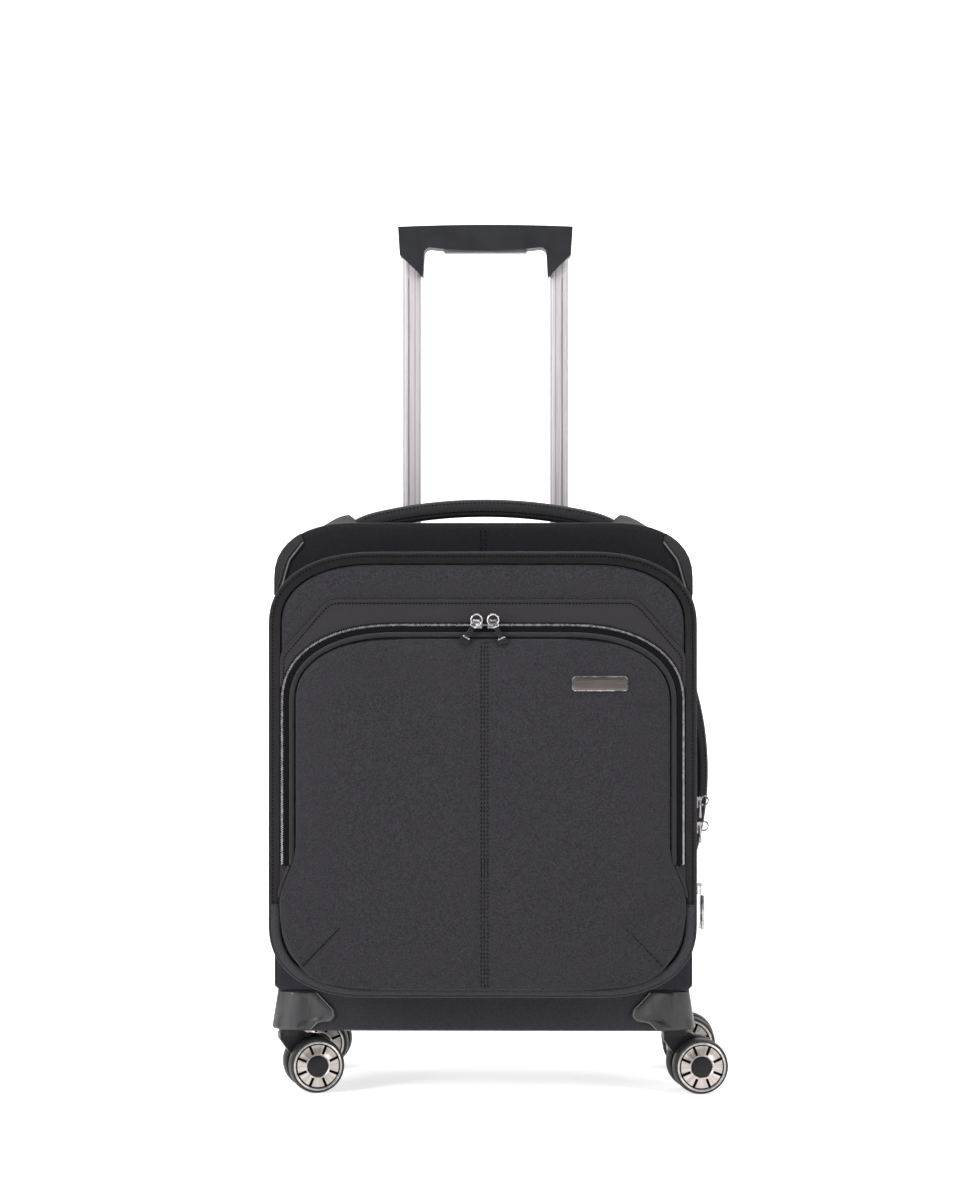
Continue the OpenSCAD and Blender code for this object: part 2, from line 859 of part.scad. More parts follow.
hub(rr, -1);  // hub_rr_front
tyre(rr, -1);  // tyre_rr_front
hub(rr, 1);  // hub_rr_rear
tyre(rr, 1);  // tyre_rr_rear
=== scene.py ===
"""Looks of the flight crew cabin trolley: cloth, seams, zips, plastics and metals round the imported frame."""
import math

import bmesh
import bpy
import numpy as np
from mathutils import Matrix, Vector


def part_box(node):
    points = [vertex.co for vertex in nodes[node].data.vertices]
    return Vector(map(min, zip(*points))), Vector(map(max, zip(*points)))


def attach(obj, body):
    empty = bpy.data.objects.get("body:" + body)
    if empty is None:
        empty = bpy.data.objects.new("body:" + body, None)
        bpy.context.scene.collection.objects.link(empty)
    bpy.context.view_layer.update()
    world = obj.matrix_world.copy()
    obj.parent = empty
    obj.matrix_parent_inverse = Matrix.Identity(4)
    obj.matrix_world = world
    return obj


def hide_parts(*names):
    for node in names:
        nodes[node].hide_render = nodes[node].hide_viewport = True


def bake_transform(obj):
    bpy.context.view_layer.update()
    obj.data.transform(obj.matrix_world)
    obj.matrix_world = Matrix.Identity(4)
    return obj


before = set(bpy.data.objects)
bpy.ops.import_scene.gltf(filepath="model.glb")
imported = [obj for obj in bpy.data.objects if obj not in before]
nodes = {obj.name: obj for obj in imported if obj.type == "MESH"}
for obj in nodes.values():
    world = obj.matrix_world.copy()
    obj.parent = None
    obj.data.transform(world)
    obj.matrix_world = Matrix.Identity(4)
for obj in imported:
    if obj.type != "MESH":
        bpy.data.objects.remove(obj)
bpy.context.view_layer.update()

MM = 0.001

# ---------------------------------------------------------------- places, all from the frame

shell_lo, shell_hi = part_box("case_shell")
panel_lo, panel_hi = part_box("back_panel")
tray_lo, tray_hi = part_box("base_tray")
ring_lo, ring_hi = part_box("expander_ring")
lid_lo, lid_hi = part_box("lid_band")
front_lo, front_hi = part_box("lid_panel")
zip_lo, zip_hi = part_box("pocket_zip")
flap_lo, flap_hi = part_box("pocket_flap")
pad_lo, pad_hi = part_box("pocket_base")
bezel_lo, bezel_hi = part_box("trolley_bezel")
grip_lo, grip_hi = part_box("grip")
tube_lo, tube_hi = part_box("inner_tubes")

BODY_HALF, BODY_LOW, BODY_TOP = shell_hi.x, ring_lo.z, shell_hi.z
SEAM_Y, BACK_Y = shell_lo.y, panel_hi.y
RING_FRONT, RING_BACK = ring_lo.y, ring_hi.y
LID_HALF, LID_LOW, LID_TOP = lid_hi.x, lid_lo.z, lid_hi.z
LID_BACK, BAND_FRONT = lid_hi.y, lid_lo.y
PANEL_FRONT, PANEL_BACK = front_lo.y, front_hi.y
ZIP_HALF, ZIP_TOP, ZIP_FRONT = zip_hi.x - 1 * MM, zip_hi.z - 1 * MM, zip_lo.y
FLAP_HALF, FLAP_TOP = flap_hi.x, flap_hi.z
FACE_FRONT, FACE_BACK = flap_lo.y, flap_hi.y
FOLD_Z = (flap_lo.z + pad_hi.z) / 2
BASE_LOW, BASE_FRONT = tray_lo.z, tray_lo.y
TUBE_Y = (tube_lo.y + tube_hi.y) / 2

# corner sizes of each outline: (across, up)
SHOULDER = (72 * MM, 50 * MM)
BODY_FOOT = (6 * MM, 6 * MM)
LID_TOP_CORNER = (98 * MM, 66 * MM)
LID_LOW_CORNER = (90 * MM, 66 * MM)
ZIP_CORNER = (106 * MM, 70 * MM)
CORNER_POWER = 2.3

BORDER_END = LID_LOW + 84 * MM     # where the tape border gives way to plain cloth


# ---------------------------------------------------------------- camera, light and floor

def build_stage():
    cam_data = bpy.data.cameras.new("view")
    cam = bpy.data.objects.new("view", cam_data)
    bpy.context.scene.collection.objects.link(cam)
    distance = 2.86
    cam_data.lens = 95.33
    cam_data.clip_end = 50
    cam.location = (35.8 * MM, FACE_FRONT - distance, 453.3 * MM)
    cam.rotation_euler = (math.radians(90), 0, math.radians(0.7))
    bpy.context.scene.camera = cam

    bpy.ops.mesh.primitive_plane_add(size=14, location=(0, 0, 0))
    floor = bpy.context.object
    floor.name = "floor"
    paint = bpy.data.materials.new("floor_paint")
    paint.use_nodes = True
    paint.node_tree.nodes["Principled BSDF"].inputs["Base Color"].default_value = (0.93, 0.93, 0.93, 1)
    shader = paint.node_tree.nodes["Principled BSDF"]
    shader.inputs["Roughness"].default_value = 0.9
    shader.inputs["Emission Color"].default_value = (1, 1, 1, 1)
    shader.inputs["Emission Strength"].default_value = 0.6
    floor.data.materials.append(paint)

    bpy.ops.mesh.primitive_plane_add(size=24, location=(0, 5, 0), rotation=(math.radians(90), 0, 0))
    backdrop = bpy.context.object
    backdrop.name = "backdrop"
    glow = bpy.data.materials.new("backdrop_glow")
    glow.use_nodes = True
    shader = glow.node_tree.nodes["Principled BSDF"]
    shader.inputs["Base Color"].default_value = (0.8, 0.8, 0.8, 1)
    shader.inputs["Roughness"].default_value = 1.0
    shader.inputs["Emission Color"].default_value = (1, 1, 1, 1)
    shader.inputs["Emission Strength"].default_value = 0.95
    backdrop.data.materials.append(glow)

    world = bpy.data.worlds.new("studio")
    world.use_nodes = True
    world.node_tree.nodes["Background"].inputs["Color"].default_value = (1, 1, 1, 1)
    world.node_tree.nodes["Background"].inputs["Strength"].default_value = 0.25
    bpy.context.scene.world = world
    bpy.context.scene.view_settings.view_transform = "Standard"

    def soft_light(name, place, target, size, power):
        data = bpy.data.lights.new(name, "AREA")
        data.shape = "RECTANGLE"
        data.size, data.size_y = size
        data.energy = power
        lamp = bpy.data.objects.new(name, data)
        bpy.context.scene.collection.objects.link(lamp)
        lamp.location = place
        aim = Vector(target) - Vector(place)
        lamp.rotation_euler = aim.to_track_quat("-Z", "Y").to_euler()

    soft_light("left_box", (-1.9, -1.7, 1.3), (0, 0, 0.35), (0.9, 1.6), 62)
    soft_light("right_box", (2.0, -1.5, 1.2), (0, 0, 0.35), (0.9, 1.6), 34)
    soft_light("top_box", (0, -0.9, 2.4), (0, 0, 0.4), (1.8, 0.9), 40)


build_stage()


# ---------------------------------------------------------------- materials

def new_material(name):
    material = bpy.data.materials.new(name)
    material.use_nodes = True
    tree = material.node_tree
    return material, tree, tree.nodes["Principled BSDF"]


def add(tree, kind, **values):
    node = tree.nodes.new(kind)
    for key, value in values.items():
        if key in node.inputs:
            node.inputs[key].default_value = value
        else:
            setattr(node, key, value)
    return node


def noise(tree, vector, scale, detail=2.0):
    node = add(tree, "ShaderNodeTexNoise", Scale=scale, Detail=detail)
    tree.links.new(vector, node.inputs["Vector"])
    return node.outputs["Fac"]


def ramp(tree, value, low, high, dark, light):
    node = tree.nodes.new("ShaderNodeValToRGB")
    node.color_ramp.elements[0].position = low
    node.color_ramp.elements[1].position = high
    node.color_ramp.elements[0].color = (*dark, 1)
    node.color_ramp.elements[1].color = (*light, 1)
    tree.links.new(value, node.inputs["Fac"])
    return node.outputs["Color"]


def math_node(tree, kind, a, b=None):
    node = tree.nodes.new("ShaderNodeMath")
    node.operation = kind
    for socket, value in zip(node.inputs, (a, b)):
        if value is None:
            continue
        if isinstance(value, (int, float)):
            socket.default_value = value
        else:
            tree.links.new(value, socket)
    return node.outputs[0]


def tint(colour, factor):
    return tuple(min(1.0, c * factor) for c in colour)


def bump(tree, height, strength, distance, base=None):
    node = add(tree, "ShaderNodeBump", Strength=strength, Distance=distance)
    tree.links.new(height, node.inputs["Height"])
    if base is not None:
        tree.links.new(base, node.inputs["Normal"])
    return node.outputs["Normal"]


def coordinates(tree):
    return tree.nodes.new("ShaderNodeTexCoord").outputs["Object"]


def multiply(tree, a, b):
    node = tree.nodes.new("ShaderNodeMix")
    node.data_type = "RGBA"
    node.blend_type = "MULTIPLY"
    node.inputs["Factor"].default_value = 1
    tree.links.new(a, node.inputs["A"])
    tree.links.new(b, node.inputs["B"])
    return node.outputs["Result"]


def cloth(name, colour, pitch=0.8 * MM, weave=0.5, melange=0.3, roughness=0.82, sheen=0.35, specular=0.12, low=None):
    """Twill: crossed diagonal ribs, flecked fibres, and a slow change of tone. low is (how much lighter below, from z,
    to z): painted shade that darkens the cloth above those heights.
    """
    material, tree, shader = new_material(name)
    place = coordinates(tree)
    flecks = ramp(tree, noise(tree, place, 850, 3), 0.34, 0.66, tint(colour, 1 - melange), tint(colour, 1 + melange))
    clouds = ramp(tree, noise(tree, place, 9, 2), 0.3, 0.7, (0.93,) * 3, (1.0,) * 3)
    tone = multiply(tree, flecks, clouds)
    # painted shade: the cloth gets darker above the heights in low, for the shade that falls on the upper parts
    if low:
        split = add(tree, "ShaderNodeSeparateXYZ")
        tree.links.new(place, split.inputs["Vector"])
        tone = multiply(tree, tone, ramp(tree, split.outputs["Z"], low[1], low[2], (1.0,) * 3, (1.0 / low[0],) * 3))
    tree.links.new(tone, shader.inputs["Base Color"])
    rib_scale = 0.314 / pitch
    ribs = add(tree, "ShaderNodeTexWave", Scale=rib_scale, Distortion=1.2)
    ribs.bands_direction = "DIAGONAL"
    tree.links.new(place, ribs.inputs["Vector"])
    cross = add(tree, "ShaderNodeTexWave", Scale=rib_scale * 1.3, Distortion=1.2)
    cross.bands_direction = "Z"
    tree.links.new(place, cross.inputs["Vector"])
    height = math_node(tree, "ADD", ribs.outputs["Fac"], cross.outputs["Fac"])
    fine = bump(tree, height, weave, 0.12 * MM)
    soft = bump(tree, noise(tree, place, 45, 3), 0.25, 0.6 * MM, fine)
    tree.links.new(soft, shader.inputs["Normal"])
    tree.links.new(ramp(tree, noise(tree, place, 300, 2), 0.2, 0.8, (roughness - 0.08,) * 3, (roughness + 0.08,) * 3),
                   shader.inputs["Roughness"])
    shader.inputs["Sheen Weight"].default_value = sheen
    shader.inputs["Sheen Roughness"].default_value = 0.45
    shader.inputs["Specular IOR Level"].default_value = specular
    return material


def plastic(name, colour, roughness=0.42, grain=0.25, grain_scale=900, specular=0.5, painted_light_bands=0.0):
    """Moulded plastic: fine spark-eroded grain, faint scuffs and uneven gloss. Its last setting paints soft upright
    light and dark bands: painted highlights and shade of a bulging moulding.
    """
    material, tree, shader = new_material(name)
    place = coordinates(tree)
    tone = ramp(tree, noise(tree, place, 25, 4), 0.3, 0.75, tint(colour, 0.9), tint(colour, 1.12))
    # painted highlights and shade: soft upright light and dark bands stand in for the light on the housing's rounded
    # bulges
    if painted_light_bands:
        upright = add(tree, "ShaderNodeMapping")
        upright.inputs["Scale"].default_value = (1, 1, 0.18)
        tree.links.new(place, upright.inputs["Vector"])
        bands = noise(tree, upright.outputs["Vector"], 95, 2)
        tone = multiply(tree, tone, ramp(tree, bands, 0.34, 0.66, (1 - painted_light_bands,) * 3, (1 + painted_light_bands,) * 3))
    tree.links.new(tone, shader.inputs["Base Color"])
    gloss = ramp(tree, noise(tree, place, 60, 5), 0.3, 0.7, (roughness - 0.07,) * 3, (roughness + 0.08,) * 3)
    tree.links.new(gloss, shader.inputs["Roughness"])
    tree.links.new(bump(tree, noise(tree, place, grain_scale, 2), grain, 0.08 * MM), shader.inputs["Normal"])
    shader.inputs["Specular IOR Level"].default_value = specular
    return material


def metal(name, colour, roughness=0.28, stretch=(1, 1, 1), scale=600, contrast=0.15, metallic=1.0):
    """Brushed or cast metal; stretch draws the brushing out along an axis."""
    material, tree, shader = new_material(name)
    mapping = add(tree, "ShaderNodeMapping")
    mapping.inputs["Scale"].default_value = stretch
    tree.links.new(coordinates(tree), mapping.inputs["Vector"])
    lines = noise(tree, mapping.outputs["Vector"], scale, 3)
    tree.links.new(ramp(tree, lines, 0.25, 0.75, tint(colour, 1 - contrast), tint(colour, 1 + contrast)),
                   shader.inputs["Base Color"])
    tree.links.new(ramp(tree, lines, 0.2, 0.8, (roughness - 0.06,) * 3, (roughness + 0.1,) * 3),
                   shader.inputs["Roughness"])
    tree.links.new(bump(tree, lines, 0.12, 0.05 * MM), shader.inputs["Normal"])
    shader.inputs["Metallic"].default_value = metallic
    return material


def radial_metal(name, colour, roughness=0.33):
    """A disc brushed along its radii, with broad light and dark sectors painted in for the spun metal's reflection: the
    pattern turns with the angle round the local Z axis.
    """
    material, tree, shader = new_material(name)
    split = tree.nodes.new("ShaderNodeSeparateXYZ")
    tree.links.new(coordinates(tree), split.inputs[0])
    angle = math_node(tree, "ARCTAN2", split.outputs["Y"], split.outputs["X"])
    combine = tree.nodes.new("ShaderNodeCombineXYZ")
    tree.links.new(angle, combine.inputs["X"])
    fine = noise(tree, combine.outputs[0], 26, 4)
    # painted reflection: broad light and dark sectors round the disc, multiplied into the fine brushing lines
    painted_reflection_sectors = noise(tree, combine.outputs[0], 4.5, 2)
    lines = math_node(tree, "MULTIPLY", fine, painted_reflection_sectors)
    tree.links.new(ramp(tree, lines, 0.12, 0.42, tint(colour, 0.5), tint(colour, 1.3)), shader.inputs["Base Color"])
    tree.links.new(ramp(tree, fine, 0.2, 0.8, (roughness - 0.06,) * 3, (roughness + 0.1,) * 3),
                   shader.inputs["Roughness"])
    tree.links.new(bump(tree, fine, 0.25, 0.08 * MM), shader.inputs["Normal"])
    shader.inputs["Metallic"].default_value = 0.9
    return material


def rubber(name, colour):
    material, tree, shader = new_material(name)
    place = coordinates(tree)
    dust = ramp(tree, noise(tree, place, 140, 4), 0.35, 0.8, tint(colour, 0.85), tint(colour, 1.35))
    tree.links.new(dust, shader.inputs["Base Color"])
    tree.links.new(ramp(tree, noise(tree, place, 70, 3), 0.3, 0.7, (0.42,) * 3, (0.58,) * 3),
                   shader.inputs["Roughness"])
    tree.links.new(bump(tree, noise(tree, place, 500, 2), 0.2, 0.1 * MM), shader.inputs["Normal"])
    shader.inputs["Specular IOR Level"].default_value = 0.25
    return material


M = {
    "front": cloth("front_twill", (0.0184, 0.0174, 0.0214), melange=0.42, sheen=0.10),
    # body, side and tape use low: painted shade, darker cloth towards the top
    "body": cloth("body_twill", (0.0178, 0.0168, 0.0224), melange=0.22, sheen=0.05, low=(2.2, 0.16, 0.34)),
    "side": cloth("side_twill", (0.0240, 0.0229, 0.0279), melange=0.25, sheen=0.10, low=(1.9, 0.40, 0.50)),
    "tape": cloth("border_tape", (0.0120, 0.0107, 0.0120), pitch=0.5 * MM, weave=0.35, melange=0.15, sheen=0.06,
                  low=(1.95, 0.40, 0.485)),
    "placket": cloth("placket_cloth", (0.0185, 0.0169, 0.0185), pitch=0.45 * MM, weave=0.25, melange=0.12, sheen=0.12,
                     roughness=0.7),
    "zip_cloth": cloth("zip_tape", (0.005, 0.005, 0.006), pitch=0.9 * MM, weave=0.8, melange=0.2, sheen=0.03, specular=0.05),
    "liner": cloth("lining", (0.11, 0.11, 0.12), pitch=0.6 * MM, melange=0.12),
    "gusset": cloth("gusset_cloth", (0.02, 0.02, 0.023), melange=0.15, sheen=0.15),
    "piping": cloth("piping", (0.018, 0.017, 0.019), pitch=0.5 * MM, weave=0.3, melange=0.12, sheen=0.15),
    "handle": cloth("handle_cover", (0.018, 0.0175, 0.020), pitch=0.45 * MM, weave=0.25, melange=0.12, sheen=0.12,
                    roughness=0.68),
    "thread": cloth("thread", (0.0022, 0.0022, 0.0025), pitch=0.3 * MM, weave=0.6, melange=0.3, sheen=0.0, specular=0.01),
    "guard": plastic("guard_plastic", (0.0152, 0.0144, 0.0156), roughness=0.5, specular=0.25),
    "roll": cloth("roll_twill", (0.0262, 0.0250, 0.0295), sheen=0.10),
    # rim: a lighter grey for thin cords along raised edges, painted edge highlight
    "rim": plastic("rim_painted_highlight", (0.09, 0.09, 0.093), roughness=0.3, specular=0.4),
    # slot: near-black and matte, painted shade inside the wheel trims' slot openings
    "slot": plastic("slot_painted_shade", (0.0015, 0.0015, 0.0015), roughness=0.8, specular=0.05),
    # housing: soft upright bands of painted highlight and shade
    "housing": plastic("housing_plastic", (0.0271, 0.0265, 0.0282), roughness=0.34, specular=0.35, painted_light_bands=0.42),
    "black": plastic("black_plastic", (0.007, 0.007, 0.008), roughness=0.4, specular=0.2),
    "grip": plastic("grip_plastic", (0.0083, 0.0086, 0.0114), roughness=0.45, grain=0.35, specular=0.28),
    "button": plastic("button_plastic", (0.11, 0.11, 0.12), roughness=0.4),
    "tube": metal("tube_aluminium", (0.3720, 0.3450, 0.3627), roughness=0.52, stretch=(1, 1, 0.02), metallic=0.35),
    # groove: darker aluminium for lines down the tubes, painted shade of the grooves
    "groove_shade": metal("tube_groove", (0.1860, 0.1736, 0.1798), roughness=0.6, stretch=(1, 1, 0.02), metallic=0.35),
    "stage": metal("stage_aluminium", (0.5, 0.49, 0.5), roughness=0.35, stretch=(1, 1, 0.02)),
    "steel": metal("steel", (0.5, 0.5, 0.52), roughness=0.25, stretch=(1, 1, 0.1)),
    "chrome": metal("plated_zinc", (0.42, 0.41, 0.42), roughness=0.2, scale=190, contrast=0.75),
    "teeth": metal("zip_teeth", (0.54, 0.53, 0.54), roughness=0.25, scale=250, contrast=0.1),
    "badge": metal("badge_plate", (0.1232, 0.1056, 0.1038), roughness=0.38, stretch=(0.06, 1, 1), scale=900),
    "disc": radial_metal("disc_metal", (0.4740, 0.4276, 0.4032)),
    "tyre": rubber("tyre_rubber", (0.014, 0.014, 0.015)),
}


# ---------------------------------------------------------------- mesh tools

def make_object(name, verts, faces, material, smooth=True, auto=None):
    mesh = bpy.data.meshes.new(name)
    mesh.from_pydata([tuple(v) for v in np.asarray(verts, float)], [], [tuple(map(int, f)) for f in faces])
    mesh.validate()
    fix = bmesh.new()
    fix.from_mesh(mesh)
    bmesh.ops.recalc_face_normals(fix, faces=fix.faces)
    fix.to_mesh(mesh)
    fix.free()
    for polygon in mesh.polygons:
        polygon.use_smooth = smooth
    if auto is not None:
        mesh.set_sharp_from_angle(angle=math.radians(auto))
    mesh.materials.append(material)
    obj = bpy.data.objects.new(name, mesh)
    bpy.context.scene.collection.objects.link(obj)
    return obj


def piece(obj, body, replaces=()):
    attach(obj, body)
    if replaces:
        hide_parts(*replaces)
    return obj


def resample(points, count=None, step=None, closed=False):
    p = np.asarray(points, float)
    if closed:
        p = np.vstack([p, p[:1]])
    seg = np.linalg.norm(np.diff(p, axis=0), axis=1)
    keep = np.concatenate([[True], seg > 1e-9])
    p = p[keep]
    along = np.concatenate([[0], np.cumsum(np.linalg.norm(np.diff(p, axis=0), axis=1))])
    if count is None:
        count = max(4, int(round(along[-1] / step)) + (0 if closed else 1))
    at = np.linspace(0, along[-1], count, endpoint=not closed)
    return np.stack([np.interp(at, along, p[:, k]) for k in range(p.shape[1])], axis=1)


def normals_of(path, closed):
    """Outward normals of a path that runs anticlockwise, seen from the front with +X to the right."""
    p = np.asarray(path)
    if closed:
        t = np.roll(p, -1, axis=0) - np.roll(p, 1, axis=0)
    else:
        t = np.gradient(p, axis=0)
    t /= np.linalg.norm(t, axis=1)[:, None]
    return np.stack([t[:, 1], -t[:, 0]], axis=1)


def corner_points(cx, cz, sx, sz, size, back, steps=24):
    t = np.radians(np.linspace(0, 90, steps + 1))
    if back:
        t = t[::-1]
    cos, sin = np.clip(np.cos(t), 0, 1), np.clip(np.sin(t), 0, 1)
    return np.stack([cx + sx * size[0] * cos ** (2 / CORNER_POWER),
                     cz + sz * size[1] * sin ** (2 / CORNER_POWER)], axis=1)


def panel(half, low, high, top, bottom, inset=0.0):
    """A panel's outline, anticlockwise from the middle of its lower edge."""
    def less(size):
        return max(size[0] - inset, MM), max(size[1] - inset, MM)
    half, low, high, top, bottom = half - inset, low + inset, high - inset, less(top), less(bottom)
    return np.vstack([
        [[0, low]],
        corner_points(half - bottom[0], low + bottom[1], 1, -1, bottom, True),
        corner_points(half - top[0], high - top[1], 1, 1, top, False),
        corner_points(top[0] - half, high - top[1], -1, 1, top, True),
        corner_points(bottom[0] - half, low + bottom[1], -1, -1, bottom, False),
    ])


def body_outline(inset=0.0):
    return panel(BODY_HALF, BODY_LOW, BODY_TOP, SHOULDER, BODY_FOOT, inset)


def lid_outline(inset=0.0):
    return panel(LID_HALF, LID_LOW, LID_TOP, LID_TOP_CORNER, LID_LOW_CORNER, inset)


def over_the_top(outline, low):
    """The part of a closed outline above a height, from the right side over the top to the left."""
    dense = resample(outline, step=0.5 * MM, closed=True)
    return dense[dense[:, 1] >= low]


def under(outline, high):
    """The part of a closed outline below a height, from the left side under the bottom to the right."""
    dense = resample(outline, step=0.5 * MM, closed=True)
    split = int(np.argmax(dense[:, 1]))
    turned = np.vstack([dense[split:], dense[:split]])
    return turned[turned[:, 1] <= high]


def zip_path(inset=0.0, low=None):
    outline = panel(ZIP_HALF, FOLD_Z - 40 * MM, ZIP_TOP, ZIP_CORNER, (MM, MM), inset)
    return over_the_top(outline, FOLD_Z + 2 * MM if low is None else low)


def sweep(name, path, profile, material, closed=True, solid=True, adjust=None, auto=40):
    """Runs a profile of (offset outwards, y) round a path of (x, z). solid closes the profile."""
    path, profile = np.asarray(path), np.asarray(profile, float)
    out = normals_of(path, closed)
    n, m = len(path), len(profile)
    x = path[None, :, 0] + profile[:, 0, None] * out[None, :, 0]
    z = path[None, :, 1] + profile[:, 0, None] * out[None, :, 1]
    y = np.repeat(profile[:, 1, None], n, axis=1)
    verts = np.stack([x, y, z], axis=2)
    if adjust is not None:
        verts = adjust(verts, path, out, profile)
    faces = []
    for k in range(m if solid else m - 1):
        for i in range(n if closed else n - 1):
            a, b = k * n + i, k * n + (i + 1) % n
            c, d = ((k + 1) % m) * n + (i + 1) % n, ((k + 1) % m) * n + i
            faces.append((a, b, c, d))
    if solid and not closed:
        faces.append([k * n for k in range(m)])
        faces.append([k * n + n - 1 for k in range(m)][::-1])
    return make_object(name, verts.reshape(-1, 3), faces, material, auto=auto)


def loft(name, loops, material, closed=True, solid=True, auto=40):
    """Joins loops of equal length, each an array of (x, y, z). solid joins the last loop to the first."""
    loops = np.asarray(loops, float)
    m, n = loops.shape[:2]
    faces = []
    for k in range(m if solid else m - 1):
        for i in range(n if closed else n - 1):
            faces.append((k * n + i, k * n + (i + 1) % n, ((k + 1) % m) * n + (i + 1) % n, ((k + 1) % m) * n + i))
    if solid and not closed:
        faces.append([k * n for k in range(m)])
        faces.append([k * n + n - 1 for k in range(m)][::-1])
    return make_object(name, loops.reshape(-1, 3), faces, material, auto=auto)


def at_y(points, y):
    points = np.asarray(points)
    return np.stack([points[:, 0], np.full(len(points), y), points[:, 1]], axis=1)


def arc(cx, cy, r, a0, a1, steps=6):
    t = np.radians(np.linspace(a0, a1, steps + 1))
    return [(cx + r * math.cos(v), cy + r * math.sin(v)) for v in t]


def circle_profile(offset, y, r, steps=12):
    return arc(offset, y, r, 0, 360 - 360 / steps, steps - 1)


def cord_along(name, points, r, material, steps=10, closed=False):
    """A round cord along 3-D points, for piping and edge rolls."""
    p = np.asarray(points, float)
    t = (np.roll(p, -1, axis=0) - np.roll(p, 1, axis=0)) if closed else np.gradient(p, axis=0)
    t /= np.linalg.norm(t, axis=1)[:, None]
    side = np.cross(t, np.array([0.0, 1.0, 0.0]))
    weak = np.linalg.norm(side, axis=1) < 0.2
    side[weak] = np.cross(t[weak], np.array([1.0, 0.0, 0.0]))
    side /= np.linalg.norm(side, axis=1)[:, None]
    other = np.cross(side, t)
    angles = np.linspace(0, 2 * np.pi, steps, endpoint=False)
    loops = [p + r * (math.cos(a) * side + math.sin(a) * other) for a in angles]
    return loft(name, loops, material, closed=closed, solid=True, auto=None)


def many(name, template, faces, places, material, smooth=True, auto=None):
    """Copies a small shape to many places, each an origin with three axes, as one mesh."""
    template = np.asarray(template, float)
    places = list(places)
    origins = np.array([p[0] for p in places])
    axes = np.array([np.stack(p[1:4]) for p in places])
    verts = origins[:, None, :] + np.einsum("vk,pkc->pvc", template, axes)
    base = np.arange(len(places)) * len(template)
    all_faces = [tuple(int(b) + i for i in f) for b in base for f in faces]
    return make_object(name, verts.reshape(-1, 3), all_faces, material, smooth=smooth, auto=auto)


def frames_along(points, outward, pitch, closed=False, skip=0.0):
    """Evenly spaced frames (place, along, outward, across) on a 3-D path with outward directions."""
    p = np.asarray(points, float)
    o = np.asarray(outward, float)
    if o.ndim == 1:
        o = np.tile(o, (len(p), 1))
    seg = np.linalg.norm(np.diff(p if not closed else np.vstack([p, p[:1]]), axis=0), axis=1)
    along = np.concatenate([[0], np.cumsum(seg)])
    pc = p if not closed else np.vstack([p, p[:1]])
    oc = o if not closed else np.vstack([o, o[:1]])
    count = max(1, int((along[-1] - 2 * skip) / pitch))
    at = skip + (np.arange(count) + 0.5) * (along[-1] - 2 * skip) / count
    place = np.stack([np.interp(at, along, pc[:, k]) for k in range(3)], axis=1)
    ahead = np.stack([np.interp(at + 0.2 * MM, along, pc[:, k]) for k in range(3)], axis=1)
    out = np.stack([np.interp(at, along, oc[:, k]) for k in range(3)], axis=1)
    t = ahead - place
    t /= np.linalg.norm(t, axis=1)[:, None] + 1e-12
    out -= (out * t).sum(1)[:, None] * t
    out /= np.linalg.norm(out, axis=1)[:, None]
    across = np.cross(t, out)
    return [(place[i], t[i], out[i], across[i]) for i in range(count)]


# One stitch: a short thread that dips into the cloth at both ends. Axes: along, outward, across.
STITCH = [(-0.5, -0.25, 0), (-0.3, 0.16, 0.16), (-0.3, 0.16, -0.16), (-0.3, -0.15, 0),
          (0.3, 0.16, 0.16), (0.3, 0.16, -0.16), (0.3, -0.15, 0), (0.5, -0.25, 0)]
STITCH_FACES = [(0, 1, 2), (0, 2, 3), (0, 3, 1), (1, 4, 5, 2), (2, 5, 6, 3), (3, 6, 4, 1), (4, 7, 5), (5, 7, 6), (6, 7, 4)]


def stitches(name, points, outward, body, pitch=3.6 * MM, length=2.6 * MM, thick=2.2 * MM, closed=False, lift=0.05 * MM):
    frames = frames_along(points, outward, pitch, closed)
    shape = [(a * length, b * thick + lift, c * thick) for a, b, c in STITCH]
    obj = many(name, shape, STITCH_FACES, frames, M["thread"])
    piece(obj, body)
    return obj


# One zip tooth: a small block with a nose. Axes: along the zip, outward, across.
TOOTH = [(-0.5, -0.5, -0.5), (0.5, -0.5, -0.5), (0.5, -0.5, 0.5), (-0.5, -0.5, 0.5),
         (-0.38, 0.5, -0.4), (0.38, 0.5, -0.4), (0.38, 0.5, 0.4), (-0.38, 0.5, 0.4)]
TOOTH_FACES = [(0, 3, 2, 1), (4, 5, 6, 7), (0, 1, 5, 4), (1, 2, 6, 5), (2, 3, 7, 6), (3, 0, 4, 7)]


def teeth(name, points, outward, body, closed=False, wide=2.0 * MM, pitch=1.6 * MM, row=None):
    """Two rows of teeth that mesh on the zip's line, or one of them."""
    frames = frames_along(points, outward, pitch / 2, closed)
    shape = [(a * pitch * 0.5, b * 1.3 * MM, c * wide * 0.72) for a, b, c in TOOTH]
    moved = [(f[0] + f[3] * wide * (0.2 if i % 2 else -0.2), f[1], f[2], f[3]) for i, f in enumerate(frames)
             if row is None or i % 2 == row]
    obj = many(name, shape, TOOTH_FACES, moved, M["teeth"], smooth=False)
    return piece(obj, body)


def waves(x, z, seed):
    """A smooth, slow unevenness from -1 to 1, the same on every run."""
    rng = np.random.default_rng(seed)
    total = np.zeros_like(x)
    for _ in range(7):
        kx, kz = rng.uniform(6, 34, 2) * rng.choice([-1, 1], 2)
        total += math.sqrt(20 / (abs(kx) + abs(kz))) * np.sin(kx * x + kz * z + rng.uniform(0, 6.28))
    return total / 7


def facing(direction, count):
    return np.tile(np.array(direction, float), (count, 1))


# ---------------------------------------------------------------- main body

def handle_hump(x, y):
    """Cloth lifted where the ends of the top handle go in."""
    away = np.abs(x) - 129 * MM
    return 10.5 * MM * np.exp(-(away / np.where(away < 0, 8 * MM, 24 * MM)) ** 2) * np.exp(-(y / (34 * MM)) ** 2)


